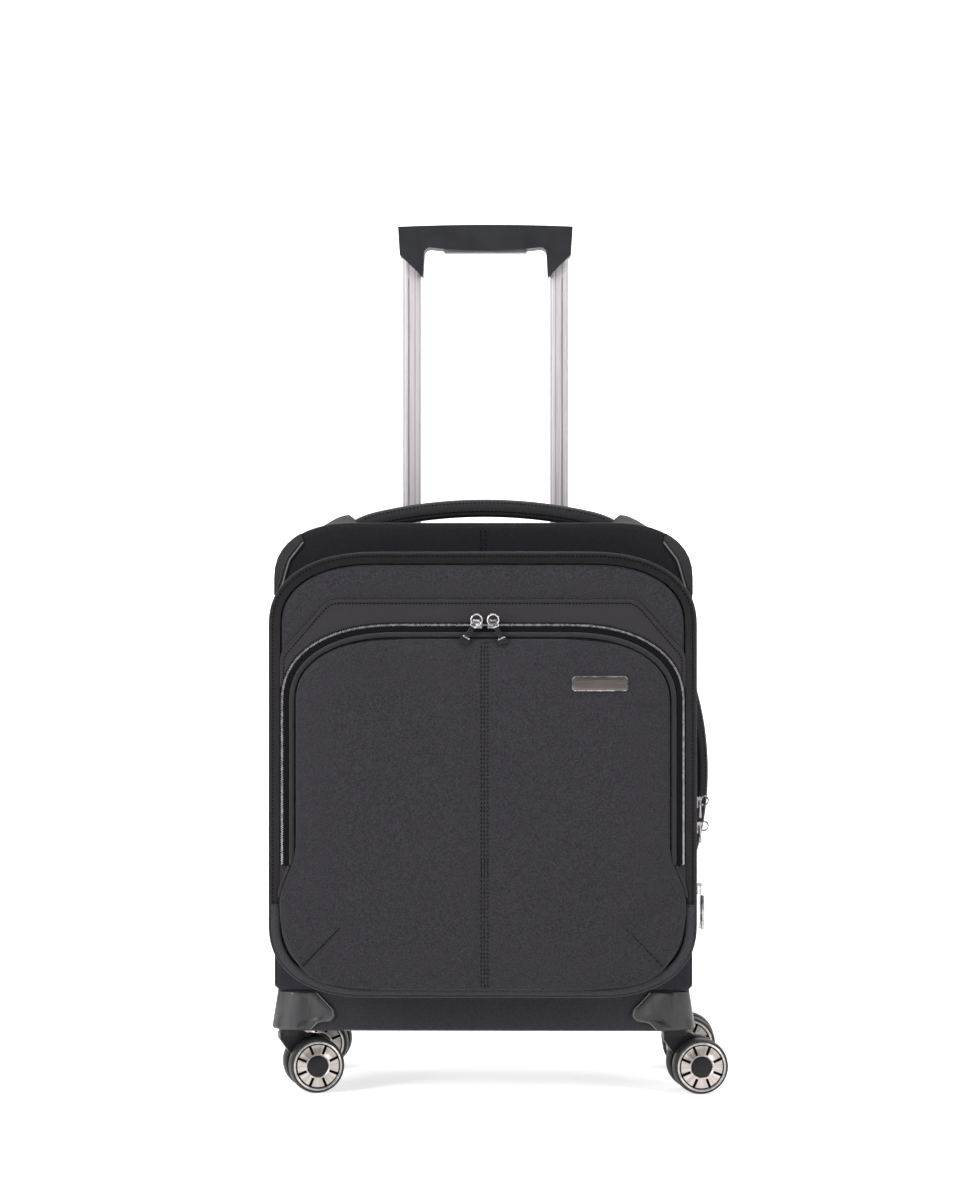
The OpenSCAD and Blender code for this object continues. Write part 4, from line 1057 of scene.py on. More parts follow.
def build_pocket_face():
    low, top = 101.6 * MM, ZIP_TOP - 12.6 * MM
    steps = np.concatenate([low + np.array([0, 0.5, 1.1, 1.9, 3, 4.4, 6.2, 8.5, 11.5, 15, 19]) * MM,
                            np.arange(low + 23 * MM, top - 62 * MM, 3.2 * MM),
                            top - 60 * MM * (np.cos(np.linspace(0, np.pi / 2, 26)) ** 1.6)])
    steps = np.unique(np.round(np.clip(steps, low, top), 6))
    half = face_half(steps)
    nu = 121
    u = np.sin(np.linspace(-1, 1, nu) * np.pi / 2 * 0.92) / math.sin(np.pi / 2 * 0.92)
    x = u[None, :] * half[:, None]
    z = np.repeat(steps[:, None], nu, axis=1)
    rim = np.vstack([np.stack([half, steps], 1), np.stack([-half[::-1], steps[::-1]], 1)])
    rim = resample(rim, step=1.5 * MM, closed=True)
    flat = np.stack([x.ravel(), z.ravel()], axis=1)
    away = np.empty(len(flat))
    for k in range(0, len(flat), 4000):
        away[k:k + 4000] = np.sqrt(((flat[k:k + 4000, None, :] - rim[None]) ** 2).sum(2)).min(1)
    away = away.reshape(x.shape)
    away[:, 0] = away[:, -1] = 0
    away[0, :] = away[-1, :] = 0
    reach = np.where(z < FOLD_Z, 3.4 * MM, 5.0 * MM)
    edge = np.clip(away / reach, 0, 1)
    lift = np.sqrt(1 - (1 - edge) ** 2)
    full = FACE_BACK - FACE_FRONT
    y = FACE_BACK - full * lift
    y -= 1.3 * MM * np.clip(away / (70 * MM), 0, 1) ** 0.6
    y += 0.33 * MM * waves(x, z, 41) * edge + 0.16 * MM * waves(x * 2.4, z * 2.4, 43) * edge
    y += seam_depth(x, z) * edge
    nz = len(steps)
    front = np.stack([x, y, z], axis=2)
    rows = np.unique(np.concatenate([np.arange(0, nz, 2), [nz - 1]]))
    cols = np.unique(np.concatenate([np.arange(0, nu, 2), [nu - 1]]))
    pins = np.exp(-(away / (5 * MM)) ** 2) + np.clip(seam_depth(x, z) / (0.9 * MM), 0, 1)
    plate_lo, plate_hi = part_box("badge")
    under = (x > plate_lo.x - 7 * MM) & (x < plate_hi.x + 7 * MM) & (z > plate_lo.z - 7 * MM) & (z < plate_hi.z + 7 * MM)
    pins = np.where((np.clip(pins, 0, 1) > 0.35) | under, 1.0, 0.0)
    pick = np.ix_(rows, cols)
    front = front + spread(billow(front[pick], pins[pick]), rows, cols, front.shape)
    back = np.stack([x * 0.998, np.full_like(x, FACE_BACK + 0.2 * MM), z], axis=2)
    verts = np.concatenate([front.reshape(-1, 3), back.reshape(-1, 3)])
    faces = []
    off = nz * nu
    for j in range(nz - 1):
        for i in range(nu - 1):
            a = j * nu + i
            faces.append((a, a + 1, a + nu + 1, a + nu))
            faces.append((off + a, off + a + nu, off + a + nu + 1, off + a + 1))
    ring = [(0, i) for i in range(nu)] + [(j, nu - 1) for j in range(1, nz)] + [(nz - 1, i) for i in range(nu - 2, -1, -1)]
    ring += [(j, 0) for j in range(nz - 2, 0, -1)]
    for (j0, i0), (j1, i1) in zip(ring, ring[1:] + ring[:1]):
        a, b = j0 * nu + i0, j1 * nu + i1
        faces.append((a, off + a, off + b, b))
    obj = make_object("pocket_face", verts, faces, M["front"])
    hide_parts("pocket_flap", "pocket_base")
    return obj


DARTS = [((163.4, 122), (124.7, 162)), ((-163.4, 122), (-124.7, 162))]


def seam_depth(x, z):
    """How far seams and darts draw the cloth in."""
    depth = 0.9 * MM * np.exp(-((x - 1.8 * MM) / (2.2 * MM)) ** 2)
    for (x0, z0), (x1, z1) in DARTS:
        p0, p1 = np.array([x0, z0]) * MM, np.array([x1, z1]) * MM
        along = p1 - p0
        t = ((x - p0[0]) * along[0] + (z - p0[1]) * along[1]) / (along @ along)
        t = np.clip(t, -0.05, 1.15)
        gap = np.hypot(x - p0[0] - t * along[0], z - p0[1] - t * along[1])
        fade = np.clip(1.15 - t, 0, 1)
        depth = depth + (1.0 * MM * np.exp(-(gap / (7 * MM)) ** 2) + 1.9 * MM * np.exp(-(gap / (1.5 * MM)) ** 2)) * fade
    return depth


def face_surface(x, z):
    """Roughly where the face's front lies, for seams drawn on it."""
    return FACE_FRONT - 1.2 * MM + seam_depth(np.asarray(x), np.asarray(z))


def face_seams(obj):
    """Rows of stitches laid on the finished face, cut in two at the fold so each half goes with its body."""
    tree_of = bvh_of(obj)
    for name, body, z0, z1 in (("flap", "flap", FOLD_Z + 6 * MM, ZIP_TOP - 13.5 * MM), ("base", "lid", 104 * MM, FOLD_Z - 6 * MM)):
        for k, x in enumerate((-1.2, 1.8, 4.8)):
            z = np.arange(z0, z1, 3 * MM)
            line = on_surface(tree_of, np.full(len(z), x * MM), z)
            stitches(f"{name}_seam_{k}", line, (0, -1, 0), body, lift=-0.05 * MM)
    for k, x in enumerate((-1.2, 1.8, 4.8)):
        z = np.linspace(FOLD_Z - 7.5 * MM, FOLD_Z + 7.5 * MM, 14)
        line = on_surface(tree_of, np.full(len(z), x * MM), z)
        line[:, 1] -= 0.02 * MM
        obj = cord_along(f"fold_seam_{k}", line, 0.3 * MM, M["thread"], steps=8)
        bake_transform(obj)
    for k, ((x0, z0), (x1, z1)) in enumerate(DARTS):
        t = np.linspace(0.03, 0.9, 24)
        line = on_surface(tree_of, (x0 + (x1 - x0) * t) * MM, (z0 + (z1 - z0) * t) * MM)
        stitches(f"dart_{k}", line, (0, -1, 0), "lid", pitch=2.2 * MM, length=2.1 * MM, thick=2.2 * MM, lift=0)


def bvh_of(obj):
    from mathutils.bvhtree import BVHTree
    return BVHTree.FromPolygons([v.co[:] for v in obj.data.vertices], [p.vertices[:] for p in obj.data.polygons])


def on_surface(tree_of, xs, zs):
    points = []
    for x, z in zip(xs, zs):
        hit = tree_of.ray_cast(Vector((x, -0.4, z)), Vector((0, 1, 0)))
        if hit[0] is not None:
            points.append(hit[0][:])
    return np.array(points)


# ---------------------------------------------------------------- small metal and moulded pieces

def ring_mesh(name, centre, axis, radius, thick, material, steps=40):
    """A torus about an axis."""
    axis = Vector(axis).normalized()
    side = axis.orthogonal().normalized()
    other = axis.cross(side)
    points = [np.array(Vector(centre) + radius * (math.cos(a) * side + math.sin(a) * other))
              for a in np.linspace(0, 2 * math.pi, steps, endpoint=False)]
    ax = np.array(axis)
    loops = []
    for b in np.linspace(0, 2 * math.pi, 10, endpoint=False):
        loops.append([p + thick * (math.cos(b) * (p - np.array(centre)) / radius + math.sin(b) * ax) for p in points])
    return loft(name, loops, material, closed=True, solid=True, auto=None)


def build_badge():
    lo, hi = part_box("badge")
    cx, cz = (lo.x + hi.x) / 2, (lo.z + hi.z) / 2
    half, high, cut = (hi.x - lo.x) / 2, (hi.z - lo.z) / 2, 2.2 * MM

    def outline(inset):
        w, h = half - inset, high - inset
        c = cut - 0.4 * inset
        return np.array([(c - w, -h), (w - c, -h), (w, c - h), (w, h - c), (w - c, h), (c - w, h), (-w, h - c), (-w, c - h)])

    def loop(inset, y):
        ring = resample(outline(inset), count=160, closed=True) + np.array([cx, cz])
        return at_y(ring, y)

    front = lo.y - 1.3 * MM
    base = loft("badge_backing", [loop(-0.7 * MM, hi.y), loop(-0.7 * MM, front + 1.0 * MM), loop(0.2 * MM, front + 0.5 * MM), loop(1.2 * MM, front + 0.9 * MM)],
                M["black"], closed=True, solid=False)
    fill_holes(base)
    piece(base, "flap", ["badge"])
    rim = loft("badge_rim", [loop(0, hi.y), loop(0, front + 0.5 * MM), loop(0.35 * MM, front), loop(0.8 * MM, front), loop(1.3 * MM, front + 0.55 * MM), loop(1.3 * MM, hi.y)],
               M["chrome"], closed=True, solid=True)
    piece(rim, "flap")
    field = loft("badge_field", [loop(1.3 * MM, hi.y), loop(1.3 * MM, front + 0.5 * MM), loop(1.5 * MM, front + 0.42 * MM), loop(4 * MM, front + 0.42 * MM)],
                 M["badge"], closed=True, solid=False)
    fill_holes(field)
    piece(field, "flap")


def turned(points, pivot, angle):
    """Turns points about an axis along Y through the pivot."""
    c, s = math.cos(angle), math.sin(angle)
    p = np.asarray(points) - np.asarray(pivot)
    out = np.stack([c * p[:, 0] + s * p[:, 2], p[:, 1], -s * p[:, 0] + c * p[:, 2]], axis=1)
    return out + np.asarray(pivot)


def move_mesh(obj, func):
    coords = np.empty(len(obj.data.vertices) * 3)
    obj.data.vertices.foreach_get("co", coords)
    obj.data.vertices.foreach_set("co", func(coords.reshape(-1, 3)).ravel())
    obj.data.update()


def build_pocket_pulls():
    for side, splay in (("left", 31), ("right", -25)):
        slider_lo, slider_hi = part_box(f"pocket_slider_{side}")
        cx = (slider_lo.x + slider_hi.x) / 2
        pin = np.array([cx, slider_lo.y + 1.3 * MM, slider_hi.z - 1.4 * MM])
        body, node = f"pocket_pull_{side}", f"pocket_pull_{side}"
        angle = math.radians(splay)
        ring = ring_mesh(f"pull_ring_{side}", pin + np.array([0, -0.2 * MM, 0.6 * MM]), (0, 1, 0.05), 5.0 * MM, 0.75 * MM, M["chrome"])
        piece(ring, f"pocket_slider_{side}")
        cord = rounded_bar(f"pull_cord_{side}", (cx - 2.3 * MM, pin[1] - 1.2 * MM, pin[2] - 17.5 * MM), (cx + 2.3 * MM, pin[1] + 0.9 * MM, pin[2] - 3.6 * MM), 0.8 * MM, M["black"])
        cap = rounded_bar(f"pull_cap_{side}", (cx - 4.4 * MM, pin[1] - 1.7 * MM, pin[2] - 23.5 * MM), (cx + 4.4 * MM, pin[1] + 1.3 * MM, pin[2] - 17.2 * MM), 1.0 * MM, M["black"])
        clasp = rounded_bar(f"pull_clasp_{side}", (cx - 3.1 * MM, pin[1] - 1.5 * MM, pin[2] - 6.8 * MM), (cx + 3.1 * MM, pin[1] + 0.6 * MM, pin[2] - 4.0 * MM), 0.7 * MM, M["chrome"])
        trim = rounded_bar(f"pull_trim_{side}", (cx - 3.4 * MM, pin[1] - 1.95 * MM, pin[2] - 18.4 * MM), (cx + 3.4 * MM, pin[1] + 1.5 * MM, pin[2] - 16.8 * MM), 0.5 * MM, M["chrome"])
        for obj, slot in ((cord, "pull_cord"), (cap, "pull_cord"), (clasp, "zip_metal"), (trim, "zip_metal")):
            move_mesh(obj, lambda p: turned(p, pin, angle))
            piece(obj, body, [node] if obj is cord else ())
        crown = rounded_bar(f"slider_crown_{side}", (slider_lo.x + 1.6 * MM, slider_lo.y + 1.2 * MM, slider_hi.z - 6.6 * MM),
                            (slider_hi.x - 1.6 * MM, slider_hi.y - 0.6 * MM, slider_hi.z - 0.4 * MM), 1.0 * MM, M["chrome"])
        piece(crown, f"pocket_slider_{side}")


def bar_along(name, stations, material, power=3.2, steps=28):
    """A padded strap: a rounded section at each station (centre, up, across, half thickness, half depth)."""
    t = np.linspace(0, 2 * np.pi, steps, endpoint=False)
    c, s = np.cos(t), np.sin(t)
    e = 2 / power
    a, b = np.sign(c) * np.abs(c) ** e, np.sign(s) * np.abs(s) ** e
    verts = []
    for centre, up, across, h, d in stations:
        centre, up, across = map(np.asarray, (centre, up, across))
        verts.append(centre + a[:, None] * d * across + b[:, None] * h * up)
    loops = np.transpose(np.array(verts), (1, 0, 2))
    return loft(name, loops, material, closed=False, solid=True, auto=None)


def handle_path(length, rise, thick, ends, count=90):
    """Centre line of a bowed handle in its own plane: along, out, the normal and the half thickness."""
    low = rise - ends
    radius = (length ** 2 / 4 + low ** 2) / (2 * low)
    half_angle = math.asin(length / 2 / radius)
    out = []
    for a in np.linspace(-half_angle, half_angle, count):
        share = abs(a) / half_angle
        h = thick / 2 * (1 - 0.42 * max(0, (share - 0.78) / 0.22) ** 2)
        r = radius - thick / 2
        out.append((r * math.sin(a), rise - radius + r * math.cos(a) - 2.0 * MM * max(0, (share - 0.9) / 0.1) ** 2,
                    math.sin(a), math.cos(a), h, share))
    return out


def build_handles():
    lo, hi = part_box("carry_handle")
    length, thick, deep = hi.x - lo.x + 12 * MM, 16 * MM, 30 * MM
    cy = 0.0
    path = handle_path(length, hi.z - BODY_TOP, thick, 7 * MM)
    stations = [((p, cy, BODY_TOP + q), (nx, 0, nz), (0, 1, 0), h, deep / 2 * (1 - 0.10 * max(0, (share - 0.8) / 0.2)))
                for p, q, nx, nz, h, share in path]
    obj = bar_along("carry_handle_cover", stations, M["handle"])
    piece(obj, "top_handle", ["carry_handle"])
    inner = [s for s in path if s[5] < 0.93]
    under = [((p - nx * (h - 1.6 * MM), cy, BODY_TOP + q - nz * (h - 1.6 * MM)), (nx, 0, nz), (0, 1, 0), 2.2 * MM, deep / 2 - 0.2 * MM)
             for p, q, nx, nz, h, share in inner]
    piece(bar_along("carry_handle_underside", under, M["tape"]), "top_handle")
    for s, side in ((-1, "front"), (1, "back")):
        for k, drop in enumerate((3.6, 11.6)):
            line = np.array([(p + nx * (h - drop * MM), cy + s * (deep / 2 + 0.15 * MM) if k else cy + s * (deep / 2 - 0.6 * MM), BODY_TOP + q + nz * (h - drop * MM))
                             for p, q, nx, nz, h, share in path if share < 0.9])
            stitches(f"carry_stitches_{side}_{k}", line, (0, s, 0), "top_handle", lift=-0.15 * MM)

    lo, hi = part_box("side_handle")
    strap_lo = lo.x
    side_w, thick, deep = hi.z - lo.z, 11 * MM, 26 * MM
    cz = (lo.z + hi.z) / 2
    rise = hi.x - BODY_HALF
    path = handle_path(side_w, rise, thick, 2.2 * MM)
    stations = [((BODY_HALF + q, cy, cz + p), (nz, 0, nx), (0, 1, 0), h, deep / 2 * (1 - 0.1 * max(0, (share - 0.8) / 0.2))) for p, q, nx, nz, h, share in path]
    obj = bar_along("side_handle_cover", stations, M["handle"])
    piece(obj, "side_grab", ["side_handle"])
    for s, side in ((-1, "front"), (1, "back")):
        for k, drop in enumerate((2.6, 8.2)):
            line = np.array([(BODY_HALF + q + nz * (h - drop * MM), cy + s * (deep / 2 - 0.1 * MM), cz + p + nx * (h - drop * MM)) for p, q, nx, nz, h, share in path if share < 0.88])
            stitches(f"side_stitches_{side}_{k}", line, (0, s, 0), "side_grab", lift=-0.15 * MM)
    for s, side in ((-1, "lower"), (1, "upper")):
        z = cz + s * (side_w / 2 - 4 * MM)
        patch = rounded_bar(f"side_handle_patch_{side}", (BODY_HALF - 1 * MM, -deep / 2 - 3 * MM, z - 9 * MM), (BODY_HALF + 2.2 * MM, deep / 2 + 3 * MM, z + 9 * MM), 1.4 * MM, M["tape"])
        piece(patch, "case")


def build_wheel_trims():
    """A tinted metal disc with slots, a bright rim and a plain cap on the outer face of each wheel."""
    for corner in ("fl", "fr", "rl", "rr"):
        wheels = {s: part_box(f"hub_{corner}_{s}") for s in ("front", "rear")}
        centres = {s: np.array((lo + hi) / 2) for s, (lo, hi) in wheels.items()}
        apart = centres["front"] - centres["rear"]
        apart /= np.linalg.norm(apart)
        axle_lo, axle_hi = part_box(f"axle_{corner}")
        for side in ("front", "rear"):
            out = apart if side == "front" else -apart
            place = centres[side] + out * 8.5 * MM
            body = f"wheel_{corner}_{side}"
            turn = Vector(out).to_track_quat("Z", "Y").to_matrix().to_4x4()
            turn.translation = Vector(place)
            add_disc(f"trim_{corner}_{side}", body, turn)


def lathe(name, profile, material, steps=96, auto=35, shape=None):
    """Turns a profile of (radius, height) round Z. Points at radius 0 are closed with a fan."""
    loops = []
    for r, h in profile:
        t = np.linspace(0, 2 * np.pi, steps, endpoint=False)
        loops.append(np.stack([r * np.cos(t), r * np.sin(t), np.full(steps, h)], axis=1))
    obj = loft(name, loops, material, closed=True, solid=False, auto=auto)
    fill_holes(obj)
    obj.data.set_sharp_from_angle(angle=math.radians(auto))
    return obj


def add_disc(name, body, turn):
    r = 22.6 * MM
    disc = lathe(name, [(r - 0.6 * MM, -1.2 * MM), (r, -0.2 * MM), (r - 0.2 * MM, 0.45 * MM), (r - 1.0 * MM, 0.75 * MM), (r - 1.8 * MM, 0.5 * MM),
                        (r - 2.1 * MM, -0.1 * MM), (r - 4 * MM, -0.15 * MM), (12.2 * MM, 0.7 * MM), (11.4 * MM, 1.2 * MM), (10.6 * MM, 1.3 * MM),
                        (9.9 * MM, 0.9 * MM), (9.4 * MM, 0.3 * MM), (9.4 * MM, -1.2 * MM)], M["disc"])
    cap = lathe(name + "_cap", [(9.2 * MM, -1.2 * MM), (9.2 * MM, 0.9 * MM), (8.9 * MM, 1.3 * MM), (8.0 * MM, 1.55 * MM), (5.0 * MM, 1.8 * MM), (2.0 * MM, 1.95 * MM)], M["black"])
    bars = []
    for k in range(8):
        a = math.radians(22.5 + 45 * k)
        u, v = np.array([math.cos(a), math.sin(a), 0]), np.array([-math.sin(a), math.cos(a), 0])
        bars.append((np.array([0.0, 0, 0]), u, v, np.array([0, 0, 1.0])))
    r0, r1, w = 11.2 * MM, 21.2 * MM, 1.2 * MM
    shape, faces = [], []
    outline = [(r0, -w), (r1 - w, -w), (r1 - 0.3 * w, -0.7 * w), (r1, 0), (r1 - 0.3 * w, 0.7 * w), (r1 - w, w), (r0, w), (r0 - 0.4 * w, 0)]
    heights = [(-1.0 * MM, -1.0 * MM), (1.15 * MM, 0.05 * MM)]
    for k in (0, 1):
        for x, y in outline:
            share = (x - r0) / (r1 - r0)
            level = heights[k][0] + (heights[k][1] - heights[k][0]) * share
            shape.append((x, y, level))
    n = len(outline)
    faces = [(i, (i + 1) % n, n + (i + 1) % n, n + i) for i in range(n)] + [tuple(range(n, 2 * n)), tuple(range(n - 1, -1, -1))]
    # the slots are near-black bars: painted shade of the openings
    slots = many(name + "_slots", shape, faces, bars, M["slot"], smooth=False)
    for obj, slot in ((disc, "wheel_plastic"), (cap, "wheel_plastic"), (slots, "wheel_plastic")):
        obj.matrix_world = turn
        piece(obj, body)


def build_guards():
    """Raised double outline on each top corner guard."""
    for s, side in ((-1, "left"), (1, "right")):
        line = np.array([(25.9, 17.4), (21, 24), (17.0, 29), (14, 33), (12.3, 37.5), (10.2, 45), (8.5, 51.4), (6.6, 57.5), (4.8, 62.4)])
        base = np.stack([(BODY_HALF - line[:, 0] * MM), BODY_TOP - line[:, 1] * MM], axis=1)
        base = resample(base, count=40)
        normal = -normals_of(base, False)
        for k, shift in enumerate((3.9, 0.9)):
            ring = base - normal * shift * MM * -1
            ring[:, 0] *= s
            # the second ridge takes the lighter rim colour: painted highlight along its edge
            cord = cord_along(f"guard_ridge_{side}_{k}", at_y(ring, RING_FRONT - 1.55 * MM), 0.75 * MM, M["rim"] if k else M["guard"])
            piece(cord, "expander")


# ---------------------------------------------------------------- materials and edges of the CAD pieces

def bevel(node, width, segments=3, angle=35):
    mod = node.modifiers.new("edge", "BEVEL")
    mod.width = width
    mod.segments = segments
    mod.limit_method = "ANGLE"
    mod.angle_limit = math.radians(angle)
    mod.harden_normals = False
    return mod


def paint_nodes():
    looks = {
        "case_shell": "side", "back_panel": "body", "base_tray": "side", "top_corner_guards": "guard", "caster_housings": "housing",
        "caster_stems": "steel", "trolley_bezel": "black", "outer_tubes": "stage", "trolley_foot": "black",
        "expander_ring": "body", "expansion_gusset": "gusset", "main_zip": "zip_cloth", "lid_band": "tape", "lid_panel": "front",
        "pocket_placket": "placket", "pocket_zip": "zip_cloth", "pocket_liner": "liner", "pocket_base": "front", "pocket_flap": "front",
        "badge": "badge", "middle_tubes": "stage", "inner_tubes": "tube", "grip": "grip", "grip_button": "button",
        "carry_handle": "handle", "side_handle": "handle",
    }
    for name, node in nodes.items():
        if name in looks:
            look = looks[name]
        elif name.startswith("tyre"):
            look = "tyre"
        elif name.startswith(("hub", "fork")):
            look = "black"
        elif name.startswith("axle"):
            look = "steel"
        else:
            look = "chrome"
        node.data.materials.clear()
        node.data.materials.append(M[look])
    for name, width in (("grip", 1.6), ("grip_button", 1.0), ("trolley_bezel", 1.0), ("top_corner_guards", 0.5), ("caster_housings", 1.6),
                        ("main_slider_upper", 0.5), ("main_slider_lower", 0.5), ("expansion_slider", 0.5), ("main_pull_upper", 0.25),
                        ("main_pull_lower", 0.25), ("expansion_pull", 0.25), ("pocket_slider_left", 0.5), ("pocket_slider_right", 0.5),
                        ("fork_fl", 1.2), ("fork_fr", 1.2), ("fork_rl", 1.2), ("fork_rr", 1.2), ("trolley_foot", 1.0)):
        bevel(nodes[name], width * MM)


# ---------------------------------------------------------------- zip ends, housings and side pulls

def build_zip_ends():
    """Where the pocket zip stops: a small patch each side, and piping that swings out below it."""
    for s, side in ((-1, "left"), (1, "right")):
        patch = rounded_bar(f"zip_patch_{side}", (min(s * 171.5 * MM, s * 183 * MM), ZIP_FRONT + 0.8 * MM, FOLD_Z - 25 * MM),
                            (max(s * 171.5 * MM, s * 183 * MM), PANEL_FRONT + 0.3 * MM, FOLD_Z + 1.2 * MM), 0.7 * MM, M["front"])
        piece(patch, "lid")
        stop = rounded_bar(f"zip_stop_{side}", (s * ZIP_HALF - 2.2 * MM, ZIP_FRONT + 0.1 * MM, FOLD_Z - 0.5 * MM),
                           (s * ZIP_HALF + 2.2 * MM, ZIP_FRONT + 1.6 * MM, FOLD_Z + 3.2 * MM), 0.5 * MM, M["black"])
        piece(stop, "lid")
        z = np.linspace(FOLD_Z + 1 * MM, FOLD_Z - 27 * MM, 26)
        half = face_half(z) + 1.9 * MM - 1.4 * MM * np.clip((FOLD_Z - 16 * MM - z) / (11 * MM), 0, 1)
        line = np.stack([s * half, np.full(26, ZIP_FRONT + 0.5 * MM), z], axis=1)
        piece(cord_along(f"base_piping_{side}", line, 1.6 * MM, M["piping"], steps=12), "lid")


def housing_edges(z):
    """The inner and outer edge of a front housing, seen from the front, at each height."""
    lo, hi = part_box("caster_housings")
    outer_low = hi.x
    inner = outer_low - 58 * MM
    base, top = lo.z, hi.z
    out = outer_low - 5.5 * MM * (z - base) / (top - base)
    knots_z = np.array([0, 7.2, 9.6, top / MM - base / MM - 22, top / MM - base / MM - 15.5, top / MM - base / MM]) * MM + base
    knots_x = np.array([outer_low - 36 * MM, outer_low - 43 * MM, inner + 3.2 * MM, inner, inner + 1 * MM, outer_low - 42 * MM])
    return np.interp(z, knots_z, knots_x), out


def build_housings():
    """A moulded skin over each housing: round corner, an upright roll and a raised rim along its inner edge."""
    lo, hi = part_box("caster_housings")
    radius = 20 * MM
    for row, y_out, depth in ((-1, lo.y, 50 * MM), (1, hi.y, 50 * MM)):
        for s, side in ((-1, "left"), (1, "right")):
            z = lo.z + (hi.z - lo.z) * np.concatenate([[0, 0.012, 0.03], np.linspace(0.07, 0.93, 22), [0.97, 0.988, 1.0]])
            inner, outer = housing_edges(z)
            t = np.linspace(0, 1, 64)
            grid = []
            for k in range(len(z)):
                w = outer[k] - inner[k]
                flat = max(w - radius, 1 * MM)
                turn = radius * math.pi / 2
                total = flat + turn + depth - radius
                at = t * total
                x = np.where(at < flat, inner[k] + at, np.where(at < flat + turn, outer[k] - radius + radius * np.sin(np.clip((at - flat) / radius, 0, math.pi / 2)), outer[k]))
                y = np.where(at < flat, 0, np.where(at < flat + turn, radius - radius * np.cos(np.clip((at - flat) / radius, 0, math.pi / 2)), radius + at - flat - turn))
                v = (z[k] - lo.z) / (hi.z - lo.z)
                edge = min(1.0, min(v, 1 - v) / 0.05)
                swell = np.sin(np.pi * np.clip(at / 17 / MM, 0, 1)) * 1.6 * MM * np.clip((x - inner[k]) / (3 * MM), 0, 1)
                dent = np.exp(-((x - (hi.x - 33 * MM)) / (5.5 * MM)) ** 2) * 1.5 * MM
                push = (0.6 * MM + swell * 0.7 - dent + 0.7 * MM) * math.sqrt(max(0.0, 1 - (1 - edge) ** 2))
                fade = np.clip((1 - t) / 0.06, 0, 1) * np.clip(t / 0.03, 0, 1) ** 0.5
                nx = np.where(at < flat, 0, np.where(at < flat + turn, np.sin(np.clip((at - flat) / radius, 0, math.pi / 2)), 1))
                ny = -np.sqrt(1 - nx ** 2)
                push = np.maximum(push * fade, 0.12 * MM)
                grid.append(np.stack([s * (x + nx * push), y_out - row * (y + ny * push) * 1.0, np.full(64, z[k])], axis=1))
            grid = np.array(grid)
            inside = grid.copy()
            inside[:, :, 0] -= s * 1.2 * MM * (np.abs(grid[:, :, 0]) > hi.x - 24 * MM)
            inside[:, :, 1] -= row * 1.6 * MM
            name = f"housing_skin_{'front' if row < 0 else 'rear'}_{side}"
            obj = sheet_solid(name, grid, inside, M["housing"])
            piece(obj, "case")
            # the rim cord is lighter grey: painted highlight along the housing's inner edge
            rim = np.array([grid[k, 1] for k in range(1, len(z) - 1)]) + np.array([0, row * 0.3 * MM, 0])
            piece(cord_along(name + "_rim", rim, 0.55 * MM, M["rim"]), "case")


def sheet_solid(name, front, back, material):
    """Closes two matching grids of points into one solid."""
    rows, cols = front.shape[:2]
    off = rows * cols
    faces = []
    for j in range(rows - 1):
        for i in range(cols - 1):
            a = j * cols + i
            faces.append((a, a + 1, a + cols + 1, a + cols))
            faces.append((off + a, off + a + cols, off + a + cols + 1, off + a + 1))
    ring = [(0, i) for i in range(cols)] + [(j, cols - 1) for j in range(1, rows)]
    ring += [(rows - 1, i) for i in range(cols - 2, -1, -1)] + [(j, 0) for j in range(rows - 2, 0, -1)]
    for (j0, i0), (j1, i1) in zip(ring, ring[1:] + ring[:1]):
        a, b = j0 * cols + i0, j1 * cols + i1
        faces.append((a, off + a, off + b, b))
    return make_object(name, np.concatenate([front.reshape(-1, 3), back.reshape(-1, 3)]), faces, material, auto=50)


def build_tube_grooves():
    lo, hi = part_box("inner_tubes")
    wide = 17 * MM
    for s, side in ((-1, "left"), (1, "right")):
        middle = s * (hi.x - wide / 2)
        for k, shift in enumerate((-3.4, 2.6)):
            x = middle + s * shift * MM
            # thin darker bars in place of grooves: painted shade of the recess
            bar = rounded_bar(f"tube_groove_{side}_{k}", (x - 0.35 * MM, lo.y - 0.05 * MM, lo.z + 4 * MM),
                              (x + 0.35 * MM, lo.y + 0.4 * MM, hi.z - 6 * MM), 0.05 * MM, M["groove_shade"], segments=1)
            piece(bar, "grip_stage")


def build_side_pulls():
    for name in ("main_pull_upper", "main_pull_lower"):
        lo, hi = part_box(name)
        centre = (hi.x + 1.6 * MM, (lo.y + hi.y) / 2 - 0.6 * MM, hi.z - 3.6 * MM)
        ring = ring_mesh(name + "_ring", centre, (0.25, 1, 0), 4.1 * MM, 0.8 * MM, M["chrome"])
        piece(ring, name.replace("pull", "slider"))
    lo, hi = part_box("expansion_pull")
    mid = (lo.y + hi.y) / 2
    blade = rounded_bar("expansion_blade", (hi.x - 1.6 * MM, mid - 3.2 * MM, lo.z - 0.6 * MM), (hi.x + 2.2 * MM, mid + 3.2 * MM, lo.z + 31 * MM), 1.1 * MM, M["chrome"])
    piece(blade, "expansion_pull")


# ---------------------------------------------------------------- cloth

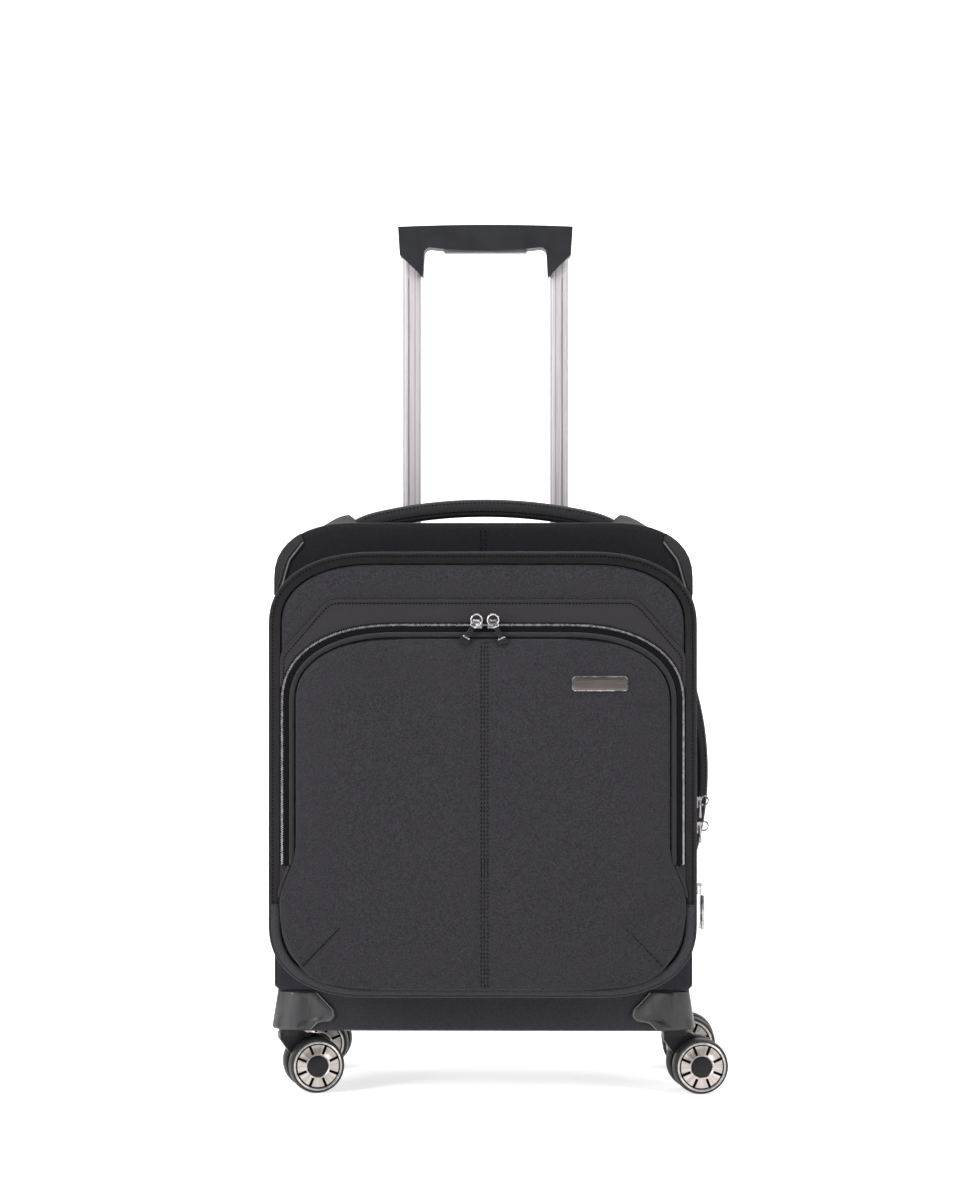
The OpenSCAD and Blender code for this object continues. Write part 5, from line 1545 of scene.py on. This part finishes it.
def billow(points, pins, pressure=2.5, frames=18, cap=2.2 * MM):
    """Lets a pinned sheet of cloth swell a little and gives how far each of its points moved."""
    rows, cols = points.shape[:2]
    faces = [(j * cols + i, j * cols + i + 1, (j + 1) * cols + i + 1, (j + 1) * cols + i) for j in range(rows - 1) for i in range(cols - 1)]
    mesh = bpy.data.meshes.new("trial")
    mesh.from_pydata([tuple(v) for v in points.reshape(-1, 3)], [], faces)
    sheet = bpy.data.objects.new("trial", mesh)
    bpy.context.scene.collection.objects.link(sheet)
    if mesh.polygons[0].normal.y > 0:
        mesh.flip_normals()
    group = sheet.vertex_groups.new(name="pins")
    for index, weight in enumerate(pins.ravel()):
        if weight > 0:
            group.add([index], float(weight), "REPLACE")
    mod = sheet.modifiers.new("cloth", "CLOTH")
    settings = mod.settings
    settings.quality = 6
    settings.mass = 0.3
    settings.tension_stiffness = settings.compression_stiffness = 12
    settings.shear_stiffness = 6
    settings.bending_stiffness = 0.4
    settings.vertex_group_mass = "pins"
    settings.pin_stiffness = 1
    settings.use_pressure = True
    settings.uniform_pressure_force = pressure
    settings.shrink_min = -0.012
    settings.effector_weights.gravity = 0
    mod.collision_settings.use_collision = False
    mod.point_cache.frame_start, mod.point_cache.frame_end = 1, frames
    for frame_number in range(1, frames + 1):
        bpy.context.scene.frame_set(frame_number)
    shown = sheet.evaluated_get(bpy.context.evaluated_depsgraph_get())
    coords = np.empty(len(mesh.vertices) * 3)
    shown.data.vertices.foreach_get("co", coords)
    moved = coords.reshape(points.shape) - points
    bpy.data.objects.remove(sheet, do_unlink=True)
    bpy.data.meshes.remove(mesh)
    bpy.context.scene.frame_set(1)
    size = np.linalg.norm(moved, axis=2, keepdims=True)
    return moved * np.minimum(1, cap / np.maximum(size, 1e-9))


def spread(coarse, rows, cols, shape):
    """Carries movements from every few rows and columns to all of them."""
    wide = np.stack([[np.interp(np.arange(shape[1]), cols, line[:, k]) for line in coarse] for k in range(3)], axis=2)
    return np.stack([[np.interp(np.arange(shape[0]), rows, wide[:, i, k]) for i in range(shape[1])] for k in range(3)], axis=2).transpose(1, 0, 2)


paint_nodes()
build_body()
build_base()
build_expander()
build_lid()
face = build_pocket_face()
face_seams(face)
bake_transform(face)
build_badge()
build_pocket_pulls()
build_handles()
build_wheel_trims()
build_guards()
build_zip_ends()
build_housings()
build_side_pulls()
build_tube_grooves()
